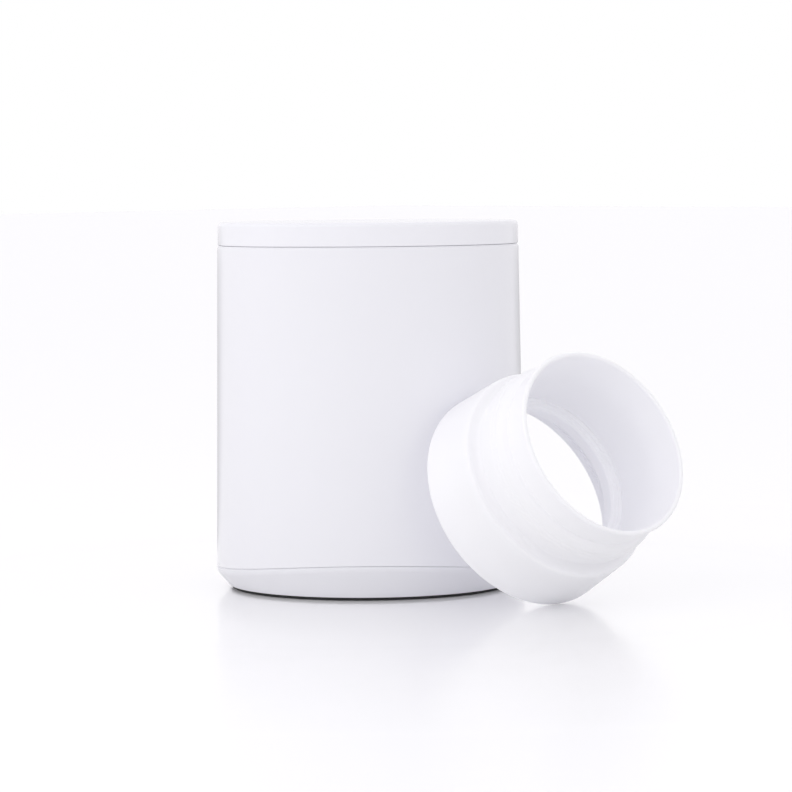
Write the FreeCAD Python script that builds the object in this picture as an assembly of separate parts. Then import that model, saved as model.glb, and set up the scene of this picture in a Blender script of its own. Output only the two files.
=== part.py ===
"""Portable bottle warmer: a drafted round housing with a lift-off lid, a heated steel chamber
over a battery pack, a power button at the back, and a loose bottle adapter leaning on the housing.

Millimetres.  +Z is up and -Y is the front.  The origin is the middle of the circle on which the
rubber foot ring stands, so z = 0 is the table.
"""
import FreeCAD, Part

import math
import os

from FreeCAD import Vector

# ---- Outer form ----------------------------------------------------------------------------------
TOP_RADIUS = 40.0            # outer radius of the wall at its top edge
BODY_TOP = 90.55             # height of that edge above the table
DRAFT = 0.7                  # degrees that the wall widens towards the base
WALL = 2.2                   # thickness of the outer shell
FOOT_INSET = 2.4             # from the wall's top radius in to the base's bottom edge
FOOT_LIFT = 0.8              # height of that edge above the table
SEAM_FRONT = 9.1             # height of the arched seam at the front and back
SEAM_SIDE = 5.7              # height of the arched seam at the sides
SEAM_GAP = 0.3               # width of the line between shell and base
KNEE_DROP = 1.1              # from the seam down to where the base starts to taper
KNEE_ROUND = 2.0             # radius that blends wall and taper

# ---- Lid -----------------------------------------------------------------------------------------
LID_INSET = 0.15             # from the wall's top edge in to the lid
LID_GAP = 0.4                # shadow line between wall and lid
LID_HEIGHT = 6.1
LID_WALL = 2.2               # thickness of the lid's top
LID_SKIRT = 2.55             # thickness of the lid's skirt
LID_ROUND = 1.0
LID_LEAST_EDGE = 0.3
LID_GLUE_GAP = 0.1           # between the plug's rim and the skirt
PLUG_WALL = 3.4
PLUG_FLOOR = 2.0
PLUG_FLANGE = 1.5
PLUG_RIM = 2.0               # thickness of the upright rim that the cap is pressed over
PLUG_CLEAR = 0.3             # between the plug and the mouth
PLUG_ABOVE_SEAL = 1.2        # from the chamber seal up to the plug's floor
LID_SEAL_HEIGHT = 2.3
LID_SEAL_DEPTH = 1.2         # depth of the groove that holds the seal
LID_SEAL_FIT = 0.05          # between the seal and the mouth
LID_SEAL_ABOVE = 2.0         # from the plug's underside up to the groove
LID_FOAM_CLEAR = 0.2

# ---- Mouth and chamber, from the wall inwards and from the top down ------------------------------
DECK = 2.2                   # thickness of the ring that closes the top
DECK_CLEAR = 0.2
LEDGE = 2.0                  # height of the shell's ledge under the deck
LEDGE_WIDTH = 1.6
MOUTH_DEPTH = 9.75           # from the deck's top down to the chamber seal
MOUTH_WALL = 2.2
CHAMBER_SEAL = 0.8           # thickness of the flat seal on the cup's flange
SEAL_LEDGE = 1.8             # width of the step that the adapter's collar rests on
CUP_WALL = 0.7
CUP_FLANGE = 0.8
CUP_CORNER = 5.0
HOLDER_FLANGE = 2.2
HOLDER_FLANGE_CLEAR = 0.5
SCREW_BAND = 3.7             # width of the holder's flange outside its liner
LINER_WALL = 1.4
LINER_FLOOR = 1.5
SLEEVE_FIT = 0.1             # between the insulation and the liner
SLEEVE_WALL = 3.0
SLEEVE_TOP_GAP = 0.7
FILM = 0.6                   # thickness of the heater film
FILM_FIT = 0.05              # on each side of the film
FILM_TOP_GAP = 6.4           # from the heater film up to the cup's flange
FILM_ABOVE_FLOOR = 6.0
TAIL_WIDTH = 6.0
TAIL_THICKNESS = 0.4
FLOOR_FOAM = 3.8             # thickness of the insulation disc under the cup
FLOOR_FOAM_GAP = 0.1
FLOOR_FOAM_EDGE = 0.6        # between the disc and the sleeve

# ---- Battery pack and boards, from the floor up --------------------------------------------------
FLOOR = 2.5                  # thickness of the base's floor
GROOVE_DEPTH = 1.0           # depth of the groove for the foot ring
GROOVE_WIDTH = 7.0
GROOVE_EDGE = 0.6            # white edge outside the groove
FOOT_FIT = 0.1               # between foot ring and groove on each side
FOOT_BEVEL = 0.25
LIP_WIDTH = 2.1              # thickness of the base's lip inside the shell
LIP_CLEAR = 0.35
LIP_ABOVE_SEAM = 2.0
PILLAR_CLEAR = 0.2           # the pillars' height above the lip
PILLAR_RADIUS = 2.9
PILLAR_WEB = 3.0
PILLAR_ANGLE = 70.0          # degrees from the X axis to each pillar
PILLAR_INSET = 4.6           # from the shell's inside to the pillar's axis
POST_HEIGHT = 18.0           # length of the shell's posts above the pillars
TRAY_LIFT = 3.5
TRAY_FLOOR = 1.5
TRAY_END_STEP = 2.6          # from the cells' ends in to the tray's wide floor
TRAY_SIDE_STEP = 1.9         # from the cells' sides in to the tray's floor
TRAY_LEG_RADIUS = 3.2
TRAY_END = 1.5               # thickness of the tray's end walls
TRAY_END_HEIGHT = 8.0
TRAY_END_HALF_WIDTH = 9.0
TRAY_END_GAP = 0.2           # between the battery tabs and the end walls
PEG_RADIUS = 1.5
PEG_HEIGHT = 2.3
PEG_INSET = 10.0             # from the cells' ends in to the pegs
PEG_SIDE_INSET = 4.5         # from the tray's sides in to the pegs
CELL_RADIUS = 9.2
CELL_GAP = 1.0               # between the two cells
CELL_LIFT = 0.1              # from the tray's floor to the cells
CELL_SHELL_CLEAR = 0.95      # from the cells' corners to the shell's inside
CELL_SEAT_FIT = 0.05
PACK_CLEAR = 0.3             # between the pack and the reliefs in the base's lip
CELL_CAP_RADIUS = 3.2
CELL_CAP_HEIGHT = 0.5
CELL_CRIMP = 0.5             # depth of the crimp near the cells' plus end
CELL_CRIMP_WIDTH = 1.6
CELL_CRIMP_FROM_END = 3.0
TAB_THICKNESS = 0.3
TAB_WIDTH = 6.0
TAB_HEIGHT = 9.0
SADDLE_WIDTH = 5.0
SADDLE_INSET = 10.0          # from the cells' ends in to the saddles' middles
EAR_EDGE = 2.8               # from the clamp screws out to the ears' ends
EAR_HEIGHT = 4.0
CLAMP_CLEAR = 0.3
CLAMP_PLATE = 1.5
CLAMP_INSET = 5.6            # from the cells' ends in to the clamp's plate
CLAMP_OVERHANG = 0.6         # of the clamp's plate beyond the cells' sides
CLAMP_SCREW_GAP = 0.3        # from the clamp's plate to its screws' heads
STANDOFF = 2.2
STANDOFF_RADIUS = 2.4
STANDOFF_INSET = 9.1         # from the cells' ends in to the standoffs
STANDOFF_SIDE_INSET = 4.0    # from the plate's sides in to the standoffs
BOARD = 1.6
BOARD_INSET = 3.0            # from the shell's inside to the main board's edge
COMPONENT_SPACE = 6.0        # from the main board's top to the chamber holder

# ---- Components on the main board ----------------------------------------------------------------
PORT_WIDTH = 9.0
PORT_HEIGHT = 3.2
PORT_DEPTH = 7.4
PORT_RECESS = 1.0            # from the shell's outside in to the port's mouth
PORT_WALL = 0.35
PORT_SLOT_CLEAR = 0.25
PORT_ROUND = 1.4             # rounds of the port's shell
PORT_CORE_WIDTH = 6.6
PORT_CORE_HEIGHT = 0.7
PORT_CORE_BACK = 1.5
PORT_CORE_RECESS = 0.8
COIL_SIZE = 12.0
COIL_HEIGHT = 5.0
COIL_ROUND = 2.0
COIL_GAP = 1.6               # from a board screw's head to the inductor
COIL_Y = -13.0
CAN_RADIUS = 3.15
CAN_HEIGHT = 5.2
CAN_INSET = 6.5              # from the standoffs in to the capacitors
CAN_Y = 6.0
CAN_PITCH = 7.6
CHIP_SIZE = 6.0
CHIP_HEIGHT = 1.0
CHIP_GAP = 4.6               # from a board screw's head to the chips beside it
CHIP_FRONT_Y = -14.0
CHIP_BACK_Y = 5.0
MIDDLE_CHIP = (-2.0, -17.0)
PLUG_BLOCK_WIDTH = 10.0
PLUG_BLOCK_DEPTH = 5.0
PLUG_BLOCK_HEIGHT = 3.4
PLUG_BLOCK_ENTRY = 1.4       # how far the heater's tail enters its connector
PLUG_BLOCK_CLEAR = 0.1
FLEX_BLOCK_WIDTH = 4.6
FLEX_BLOCK_DEPTH = 2.4
FLEX_BLOCK_HEIGHT = 1.6
FLEX_WIDTH = 3.6
FLEX_THICKNESS = 0.3
FLEX_X = 7.3

# ---- Sensors under the cup -----------------------------------------------------------------------
SENSOR_RADIUS = 2.5
SENSOR_HEIGHT = 2.4
SENSOR_HOLE_CLEAR = 0.2
SENSOR_LEAD_RADIUS = 0.35
SENSOR_LEAD_PITCH = 2.4
LEAD_HOLE_RADIUS = 3.2
FUSE_RADIUS = 1.6
FUSE_LENGTH = 9.0
FUSE_Y = 12.0
FUSE_LEAD_RADIUS = 0.4
FUSE_LEAD_SPAN = 14.0
FUSE_SLOT_CLEAR = 0.5
CONTACT_GAP = 0.05           # film of heat paste between the sensors and the cup

# ---- Power button at the back --------------------------------------------------------------------
BUTTON_HEIGHT = 55.0         # height of the button's axis
BUTTON_RADIUS = 4.5
BUTTON_FIT = 0.1
BUTTON_PROUD = 0.4
BUTTON_ROUND = 0.4
BUTTON_FLANGE = 0.6
BUTTON_FLANGE_WIDTH = 1.1
SWITCH_SIZE = 5.2
SWITCH_BODY = 1.4
SWITCH_CAVITY = 1.0
PLUNGER_RADIUS = 1.2
PLUNGER_FIT = 0.1
PLUNGER_PROUD = 0.5          # how far the plunger stands out of the switch at rest
PLUNGER_ENTRY = 0.55         # how far it reaches into the switch at rest
PAD_PROUD = 0.6
PAD_HALF_WIDTH = 10.0
KEY_BOARD = 0.8              # thickness of the button's board
KEY_BOARD_HALF_WIDTH = 9.0
KEY_BOARD_HALF_HEIGHT = 10.0
KEY_PAD_MARGIN = 1.0
KEY_SCREW_INSET = 1.9
LED_RISE = 8.0               # from the button's axis up to the indicator
LED_SIZE = 1.6
LED_HEIGHT = 0.8
PIPE_RADIUS = 1.2
PIPE_GAP = 0.1

# ---- Bottle adapter ------------------------------------------------------------------------------
ADAPTER_LENGTH = 36.6
COLLAR_CLEAR = 0.3           # between the adapter's collar and the mouth
COLLAR_LENGTH = 17.1
COLLAR_EDGE = 1.6            # round at the collar's free end
COLLAR_TAPER = 1.1
COLLAR_WALL = 2.4            # thickness of the collar round its bore
COLLAR_BORE_DEPTH = 8.0
COLLAR_BORE_BEVEL = 0.4
STEP_ROUND = 0.9             # round where the collar steps in to the shoulder
STEP_HOLLOW = 1.9            # radius of the hollow at the foot of that step
SHOULDER_SAG = 1.25          # bulge of the shoulder's curve
NECK_DROP = 0.8              # the neck's radius below the shoulder's
NECK_AT = 28.9               # from the collar's free end
FLARE_SAG = 0.25             # hollow of the flare between neck and rim
RIM_FLARE = 0.45             # the rim's radius above the neck's
RIM_THICKNESS = 1.3
THROAT_DROP = 9.2            # the throat's radius, which grips a bottle's neck, below the collar's
THROAT_AT = 9.6              # from the collar's free end to the throat
THROAT_LENGTH = 3.0
FUNNEL_SAG = 0.35            # bulge of the funnel's curve
RIDGE_RADIUS = 0.4           # fine grooves round the shoulder and inside the bore
RIDGES_OUTSIDE = (25.2, 27.1)
RIDGES_INSIDE = (2.6, 5.4)
ADAPTER_TILT = 27.0          # degrees that its axis rises from the table
ADAPTER_FACING = -50.5       # heading of that axis, degrees from +X
ADAPTER_SIDE = -44.5         # heading from the housing's axis to the collar's middle
LEAN_CLEAR = 0.3             # between the collar and the wall that it leans on

# ---- Screws --------------------------------------------------------------------------------------
THREAD_FIT = 0.03            # between a screw and its pilot hole
HOLE_CLEAR = 0.2             # between a screw and a plain hole
BASE_SCREW = {"head": 2.3, "rise": 1.8, "shank": 1.25, "bite": 6.0}
HOLDER_SCREW = {"head": 1.75, "rise": 1.6, "shank": 1.0, "bite": 5.0}
CLAMP_SCREW = {"head": 1.9, "rise": 1.4, "shank": 1.0, "bite": 5.0}
BOARD_SCREW = {"head": 1.9, "rise": 1.3, "shank": 1.0, "bite": 3.2}
KEY_SCREW = {"head": 1.4, "rise": 0.8, "shank": 0.7, "bite": 1.6}
BORE_END = 0.6               # depth of each pilot hole past its screw's tip

# ---- Working values ------------------------------------------------------------------------------
THROUGH = 0.5                # overrun of cutting tools past a face
FAR = 100.0                  # length of tools that run past everything in their way
SAME = 1e-3                  # lengths closer than this count as equal
LEAN_STEPS = 12              # moves in which the adapter settles against the wall
HALF_BEND = math.sqrt(0.5)   # cosine of 45 degrees

X_AXIS = Vector(1, 0, 0)
Y_AXIS = Vector(0, 1, 0)
Z_AXIS = Vector(0, 0, 1)
ORIGIN = Vector(0, 0, 0)


# ---- Solids --------------------------------------------------------------------------------------
def disc(radius, low, high, x=0.0, y=0.0):
    """Upright cylinder between two heights."""
    return Part.makeCylinder(radius, high - low, Vector(x, y, low))


def ring(inner, outer, low, high, x=0.0, y=0.0):
    """Upright tube between two heights."""
    bore = disc(inner, low - THROUGH, high + THROUGH, x, y)
    return disc(outer, low, high, x, y).cut(bore)


def rod(radius, start, end):
    """Cylinder from one point to another."""
    along = end.sub(start)
    return Part.makeCylinder(radius, along.Length, start, along)


def block(x_range, y_range, z_range):
    """Box between the two ends of each range."""
    size = [high - low for low, high in (x_range, y_range, z_range)]
    return Part.makeBox(*size, Vector(x_range[0], y_range[0], z_range[0]))


def around(middle, half):
    """Range of one half-width on either side of a middle."""
    return (middle - half, middle + half)


def turned(*edges):
    """Solid turned about the Z axis from a closed outline in the XZ plane."""
    face = Part.Face(Part.Wire(Part.__sortEdges__(list(edges))))
    return face.revolve(ORIGIN, Z_AXIS, 360)


def line(start, end):
    """Straight edge between two (radius, height) places."""
    return Part.makeLine(Vector(start[0], 0, start[1]), Vector(end[0], 0, end[1]))


def arc(start, middle, end):
    """Circular edge through three (radius, height) places."""
    return Part.Arc(*(Vector(r, 0, z) for r, z in (start, middle, end))).toShape()


def joined(shapes):
    """One solid from several that touch or overlap."""
    first, *rest = shapes
    return first.fuse(rest).removeSplitter() if rest else first


def screw(kind, seat, grip, towards):
    """Pan-head screw whose head sits at `seat` and whose shank passes `grip` before it bites."""
    axis = Vector(towards).normalize()
    head = rod(kind["head"], seat - axis * kind["rise"], seat)
    shank = rod(kind["shank"], seat, seat + axis * (grip + kind["bite"]))
    return joined([head, shank])


def pilot(kind, start, towards):
    """Tool for the blind hole that a screw bites into."""
    axis = Vector(towards).normalize()
    return rod(kind["shank"] + THREAD_FIT, start, start + axis * (kind["bite"] + BORE_END))


def four(x, y):
    """The four places that mirror one place about the X and Y axes."""
    return [(sx * x, sy * y) for sx in (1, -1) for sy in (1, -1)]


# ---- Levels and radii that follow from the sizes above -------------------------------------------
def wall_radius(z):
    """Outer radius of the drafted wall at a height."""
    return TOP_RADIUS + (BODY_TOP - z) * math.tan(math.radians(DRAFT))


def inside_radius(z):
    """Inner radius of the shell at a height."""
    return wall_radius(z) - WALL


FOOT_RADIUS = TOP_RADIUS - FOOT_INSET
GROOVE_FLOOR = FOOT_LIFT + GROOVE_DEPTH
FLOOR_TOP = GROOVE_FLOOR + FLOOR
LIP_TOP = SEAM_FRONT + LIP_ABOVE_SEAM
PILLAR_TOP = LIP_TOP + PILLAR_CLEAR
POST_TOP = PILLAR_TOP + POST_HEIGHT
LIP_OUTER = inside_radius(LIP_TOP) - LIP_CLEAR
LIP_INNER = LIP_OUTER - LIP_WIDTH
GROOVE_OUTER = FOOT_RADIUS - GROOVE_EDGE
GROOVE_INNER = GROOVE_OUTER - GROOVE_WIDTH
PILLAR_AT = inside_radius(PILLAR_TOP) - PILLAR_INSET
PILLAR_X = PILLAR_AT * math.cos(math.radians(PILLAR_ANGLE))
PILLAR_Y = PILLAR_AT * math.sin(math.radians(PILLAR_ANGLE))
PILLARS = four(PILLAR_X, PILLAR_Y)

TRAY_BOTTOM = FLOOR_TOP + TRAY_LIFT
TRAY_TOP = TRAY_BOTTOM + TRAY_FLOOR
CELL_AXIS = TRAY_TOP + CELL_LIFT + CELL_RADIUS
CELL_Y = CELL_RADIUS + CELL_GAP / 2
CELL_SIDE = CELL_Y + CELL_RADIUS
CELL_ROOM = inside_radius(CELL_AXIS) - CELL_SHELL_CLEAR
CELL_HALF = math.sqrt(CELL_ROOM ** 2 - CELL_SIDE ** 2)
TRAY_REACH = CELL_HALF + TAB_THICKNESS + TRAY_END_GAP + TRAY_END
TRAY_HALF_WIDTH = CELL_SIDE - TRAY_SIDE_STEP
CLAMP_HALF_WIDTH = CELL_SIDE + CLAMP_OVERHANG
PEGS = four(CELL_HALF - PEG_INSET, TRAY_HALF_WIDTH - PEG_SIDE_INSET)
SADDLE_X = CELL_HALF - SADDLE_INSET
CLAMP_UNDER = CELL_AXIS + CELL_RADIUS + CLAMP_CLEAR
CLAMP_TOP = CLAMP_UNDER + CLAMP_PLATE
EAR_SCREW_Y = CLAMP_HALF_WIDTH + CLAMP_SCREW_GAP + CLAMP_SCREW["head"]
EAR_SCREWS = four(SADDLE_X, EAR_SCREW_Y)
EAR_END = EAR_SCREW_Y + EAR_EDGE
STANDOFF_X = CELL_HALF - STANDOFF_INSET
STANDOFFS = four(STANDOFF_X, CLAMP_HALF_WIDTH - STANDOFF_SIDE_INSET)
SCREW_HEAD_X = STANDOFF_X - BOARD_SCREW["head"]
COIL_X = SCREW_HEAD_X - COIL_GAP - COIL_SIZE / 2
CAN_X = STANDOFF_X - CAN_INSET
CHIP_X = -(SCREW_HEAD_X - CHIP_GAP - CHIP_SIZE / 2)
CHIP_PLACES = ((CHIP_X, CHIP_FRONT_Y), (CHIP_X, CHIP_BACK_Y), MIDDLE_CHIP)
BOARD_UNDER = CLAMP_TOP + STANDOFF
BOARD_TOP = BOARD_UNDER + BOARD
BOARD_RADIUS = inside_radius(BOARD_TOP) - BOARD_INSET

HOLDER_BOTTOM = BOARD_TOP + COMPONENT_SPACE
HOLDER_FLOOR = HOLDER_BOTTOM + LINER_FLOOR
CUP_BOTTOM = HOLDER_FLOOR + FLOOR_FOAM + FLOOR_FOAM_GAP
DECK_UNDER = BODY_TOP - DECK
LEDGE_UNDER = DECK_UNDER - LEDGE
SEAL_TOP = BODY_TOP - MOUTH_DEPTH
CUP_TOP = SEAL_TOP - CHAMBER_SEAL
HOLDER_TOP = CUP_TOP - CUP_FLANGE
HOLDER_FLANGE_UNDER = HOLDER_TOP - HOLDER_FLANGE

FLANGE_OUTER = inside_radius(HOLDER_TOP) - HOLDER_FLANGE_CLEAR
LINER_OUTER = FLANGE_OUTER - SCREW_BAND
LINER_INNER = LINER_OUTER - LINER_WALL
SLEEVE_OUTER = LINER_INNER - SLEEVE_FIT
SLEEVE_INNER = SLEEVE_OUTER - SLEEVE_WALL
FILM_OUTER = SLEEVE_INNER - FILM_FIT
FILM_INNER = FILM_OUTER - FILM
CUP_OUTER = FILM_INNER - FILM_FIT
CUP_INNER = CUP_OUTER - CUP_WALL
MOUTH_RADIUS = CUP_INNER + SEAL_LEDGE
MOUTH_OUTER = MOUTH_RADIUS + MOUTH_WALL
HOLDER_SCREW_AT = (FLANGE_OUTER + LINER_OUTER) / 2
HOLDER_SCREW_BOSS = SCREW_BAND / 2
HOLDER_SCREW_PLACES = four(HOLDER_SCREW_AT * HALF_BEND, HOLDER_SCREW_AT * HALF_BEND)
FILM_BOTTOM = CUP_BOTTOM + FILM_ABOVE_FLOOR

LID_RADIUS = TOP_RADIUS - LID_INSET
LID_BOTTOM = BODY_TOP + LID_GAP
LID_TOP = LID_BOTTOM + LID_HEIGHT
LID_UNDER = LID_TOP - LID_WALL
PLUG_OUTER = MOUTH_RADIUS - PLUG_CLEAR
PLUG_INNER = PLUG_OUTER - PLUG_WALL
PLUG_BOTTOM = SEAL_TOP + PLUG_ABOVE_SEAL
PLUG_RIM_OUTER = LID_RADIUS - LID_SKIRT - LID_GLUE_GAP
LID_SEAL_BOTTOM = PLUG_BOTTOM + LID_SEAL_ABOVE

PORT_MIDDLE = BOARD_TOP + PORT_HEIGHT / 2
PORT_FACE = wall_radius(PORT_MIDDLE) - PORT_RECESS
PORT_BACK = PORT_FACE - PORT_DEPTH

PAD_FACE = LINER_OUTER + PAD_PROUD
KEY_BOARD_FACE = PAD_FACE + KEY_BOARD
SWITCH_FACE = KEY_BOARD_FACE + SWITCH_BODY
BUTTON_BACK = SWITCH_FACE + PLUNGER_PROUD
BUTTON_SHOULDER = BUTTON_BACK + BUTTON_FLANGE
BUTTON_FACE = wall_radius(BUTTON_HEIGHT) + BUTTON_PROUD
LED_Z = BUTTON_HEIGHT + LED_RISE
KEY_SCREW_X = KEY_BOARD_HALF_WIDTH - KEY_SCREW_INSET
KEY_SCREW_PLACES = [(x, BUTTON_HEIGHT) for x in around(0, KEY_SCREW_X)]

COLLAR_RADIUS = MOUTH_RADIUS - COLLAR_CLEAR
COLLAR_TOP = COLLAR_RADIUS - COLLAR_TAPER
SHOULDER_RADIUS = COLLAR_TOP - STEP_ROUND - STEP_HOLLOW
SHOULDER_AT = COLLAR_LENGTH + STEP_HOLLOW
COLLAR_BORE = COLLAR_RADIUS - COLLAR_WALL
NECK_RADIUS = SHOULDER_RADIUS - NECK_DROP
RIM_RADIUS = NECK_RADIUS + RIM_FLARE
THROAT_RADIUS = COLLAR_RADIUS - THROAT_DROP


# ---- Housing -------------------------------------------------------------------------------------
def seam_tool(offset):
    """Everything under the arched seam, moved by `offset` along the arch's radius."""
    rise = SEAM_FRONT - SEAM_SIDE
    reach = wall_radius(SEAM_SIDE)
    radius = (reach ** 2 + rise ** 2) / (2 * rise)
    start = Vector(0, -FAR, SEAM_FRONT - radius)
    return Part.makeCylinder(radius + offset, 2 * FAR, start, Y_AXIS)


def drafted(low, high, inset=0.0):
    """Frustum that follows the wall between two heights, `inset` inside it."""
    return Part.makeCone(
        wall_radius(low) - inset, wall_radius(high) - inset, high - low, Vector(0, 0, low), Z_AXIS
    )


def outer_shell():
    """Drafted tube with a ledge for the deck, posts for the base screws and openings at the back."""
    wall = drafted(FOOT_LIFT, BODY_TOP).cut(seam_tool(SEAM_GAP / 2))
    hollow = drafted(FOOT_LIFT - THROUGH, BODY_TOP + THROUGH, WALL)
    ledge = ring(inside_radius(LEDGE_UNDER) - LEDGE_WIDTH, TOP_RADIUS, LEDGE_UNDER, DECK_UNDER)
    ledge = ledge.common(drafted(FOOT_LIFT, BODY_TOP, WALL / 2))
    notches = [
        disc(HOLDER_SCREW_BOSS + HOLE_CLEAR, LEDGE_UNDER - THROUGH, DECK_UNDER + THROUGH, x, y)
        for x, y in HOLDER_SCREW_PLACES
    ]
    pieces = [wall.cut(hollow), ledge.cut(notches)]
    for x, y in PILLARS:
        post = disc(PILLAR_RADIUS, PILLAR_TOP, POST_TOP, x, y)
        heading = math.degrees(math.atan2(y, x))
        reach = inside_radius(POST_TOP) + WALL / 2
        web = block((PILLAR_AT, reach), around(0, PILLAR_WEB / 2), (PILLAR_TOP, POST_TOP))
        web.rotate(ORIGIN, Z_AXIS, heading)
        pieces.append(joined([post, web]).cut(pilot(BASE_SCREW, Vector(x, y, PILLAR_TOP), Z_AXIS)))
    port_slot = port_form(PORT_SLOT_CLEAR, PORT_BACK, FAR)
    return joined(pieces).cut([port_slot, button_hole(), pipe_hole()])


def button_hole():
    """Tool for the hole that guides the power button."""
    return rod(BUTTON_RADIUS + BUTTON_FIT, Vector(0, PAD_FACE, BUTTON_HEIGHT),
               Vector(0, FAR, BUTTON_HEIGHT))


def pipe_hole():
    """Tool for the hole that holds the light pipe."""
    return rod(PIPE_RADIUS, Vector(0, PAD_FACE, LED_Z), Vector(0, FAR, LED_Z))


def base_form():
    """Outer form of the base: the wall's foot, tapered to the foot circle, rounded at the knee."""
    top = SEAM_FRONT + WALL
    widths = []
    for seam in (SEAM_SIDE, SEAM_FRONT):
        level = seam - KNEE_DROP
        slope = (wall_radius(level) - FOOT_RADIUS) / (level - FOOT_LIFT)
        widths.append(FOOT_RADIUS + slope * (top - FOOT_LIFT))
    foot = Part.Circle(Vector(0, 0, FOOT_LIFT), Z_AXIS, FOOT_RADIUS).toShape()
    side = Vector(widths[0], 0, top)
    knee = Part.Ellipse(side, Vector(0, widths[1], top), Vector(0, 0, top)).toShape()
    taper = Part.makeLoft([Part.Wire(foot), Part.Wire(knee)], True, True)
    form = taper.common(drafted(FOOT_LIFT, top))
    knee_edges = [e for e in form.Edges if is_knee(e)]
    return form.makeFillet(KNEE_ROUND, knee_edges)


def is_knee(edge):
    """Whether an edge of the base's form lies between its foot circle and its top circle."""
    middle = edge.valueAt((edge.FirstParameter + edge.LastParameter) / 2)
    on_wall = abs(math.hypot(middle.x, middle.y) - wall_radius(middle.z)) < SAME
    return on_wall and FOOT_LIFT + SAME < middle.z < SEAM_FRONT and not runs_up(edge)


def runs_up(edge):
    """Whether an edge is a straight seam line up the wall."""
    tall = edge.BoundBox.ZLength > (SEAM_FRONT - FOOT_LIFT) / 2
    return tall and isinstance(edge.Curve, Part.Line)


def base_cup():
    """Base with its foot groove, floor, inner lip, screw pillars and pegs for the battery tray."""
    body = base_form().common(seam_tool(-SEAM_GAP / 2))
    body = body.cut(disc(LIP_INNER, FLOOR_TOP, SEAM_FRONT + WALL))
    pieces = [body, ring(LIP_INNER, LIP_OUTER, FLOOR_TOP, LIP_TOP)]
    pieces += [disc(PILLAR_RADIUS, FLOOR_TOP, PILLAR_TOP, x, y) for x, y in PILLARS]
    pieces += [disc(PEG_RADIUS, FLOOR_TOP, FLOOR_TOP + PEG_HEIGHT, x, y) for x, y in PEGS]
    tools = cell_tools(PACK_CLEAR)
    tools.append(block(around(0, TRAY_REACH + PACK_CLEAR), around(0, TRAY_END_HALF_WIDTH + PACK_CLEAR),
                       (TRAY_BOTTOM - PACK_CLEAR, LIP_TOP + THROUGH)))
    tools.append(ring(GROOVE_INNER, GROOVE_OUTER, FOOT_LIFT - THROUGH, GROOVE_FLOOR))
    head_room = GROOVE_FLOOR + BASE_SCREW["rise"] + HOLE_CLEAR
    for x, y in PILLARS:
        tools.append(disc(BASE_SCREW["head"] + HOLE_CLEAR, GROOVE_FLOOR - THROUGH, head_room, x, y))
        hole = BASE_SCREW["shank"] + HOLE_CLEAR
        tools.append(disc(hole, GROOVE_FLOOR, PILLAR_TOP + THROUGH, x, y))
    return joined(pieces).cut(tools)


def foot_ring():
    """Rubber ring that the warmer stands on."""
    inner = GROOVE_INNER + FOOT_FIT
    outer = GROOVE_OUTER - FOOT_FIT
    return turned(
        line((inner + FOOT_BEVEL, 0), (outer - FOOT_BEVEL, 0)),
        line((outer - FOOT_BEVEL, 0), (outer, FOOT_BEVEL)),
        line((outer, FOOT_BEVEL), (outer, GROOVE_FLOOR)),
        line((outer, GROOVE_FLOOR), (inner, GROOVE_FLOOR)),
        line((inner, GROOVE_FLOOR), (inner, FOOT_BEVEL)),
        line((inner, FOOT_BEVEL), (inner + FOOT_BEVEL, 0)),
    )


def base_screws():
    """Four screws from under the foot ring up into the shell's posts."""
    seat = GROOVE_FLOOR + BASE_SCREW["rise"] + HOLE_CLEAR
    grip = PILLAR_TOP - seat
    places = [Vector(x, y, seat) for x, y in PILLARS]
    return Part.makeCompound([screw(BASE_SCREW, place, grip, Z_AXIS) for place in places])


# ---- Mouth and warming chamber -------------------------------------------------------------------
def mouth_ring():
    """Deck that closes the top round the mouth, with the mouth's wall and four screw bosses."""
    deck = ring(MOUTH_RADIUS, inside_radius(BODY_TOP) - DECK_CLEAR, DECK_UNDER, BODY_TOP)
    throat = ring(MOUTH_RADIUS, MOUTH_OUTER, SEAL_TOP, DECK_UNDER)
    pieces = [deck, throat]
    for x, y in HOLDER_SCREW_PLACES:
        boss = disc(HOLDER_SCREW_BOSS, HOLDER_TOP, DECK_UNDER, x, y)
        pieces.append(boss.cut(pilot(HOLDER_SCREW, Vector(x, y, HOLDER_TOP), Z_AXIS)))
    return joined(pieces)


def mouth_seal():
    """Flat silicone ring between the cup's flange and the mouth's wall."""
    return ring(CUP_INNER + CUP_WALL, MOUTH_OUTER, CUP_TOP, SEAL_TOP)


def chamber_cup():
    """Drawn steel cup in which the milk is warmed."""
    inner_corner = CUP_CORNER - CUP_WALL
    floor = CUP_BOTTOM + CUP_WALL
    corner = CUP_BOTTOM + CUP_CORNER
    outer_back = CUP_CORNER * (1 - HALF_BEND)
    inner_back = inner_corner * (1 - HALF_BEND)
    outer_middle = (CUP_OUTER - outer_back, CUP_BOTTOM + outer_back)
    inner_middle = (CUP_INNER - inner_back, floor + inner_back)
    return turned(
        line((0, CUP_BOTTOM), (CUP_OUTER - CUP_CORNER, CUP_BOTTOM)),
        arc((CUP_OUTER - CUP_CORNER, CUP_BOTTOM), outer_middle, (CUP_OUTER, corner)),
        line((CUP_OUTER, corner), (CUP_OUTER, HOLDER_TOP)),
        line((CUP_OUTER, HOLDER_TOP), (MOUTH_OUTER, HOLDER_TOP)),
        line((MOUTH_OUTER, HOLDER_TOP), (MOUTH_OUTER, CUP_TOP)),
        line((MOUTH_OUTER, CUP_TOP), (CUP_INNER, CUP_TOP)),
        line((CUP_INNER, CUP_TOP), (CUP_INNER, floor + inner_corner)),
        arc((CUP_INNER, floor + inner_corner), inner_middle, (CUP_INNER - inner_corner, floor)),
        line((CUP_INNER - inner_corner, floor), (0, floor)),
        line((0, floor), (0, CUP_BOTTOM)),
    )


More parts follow.
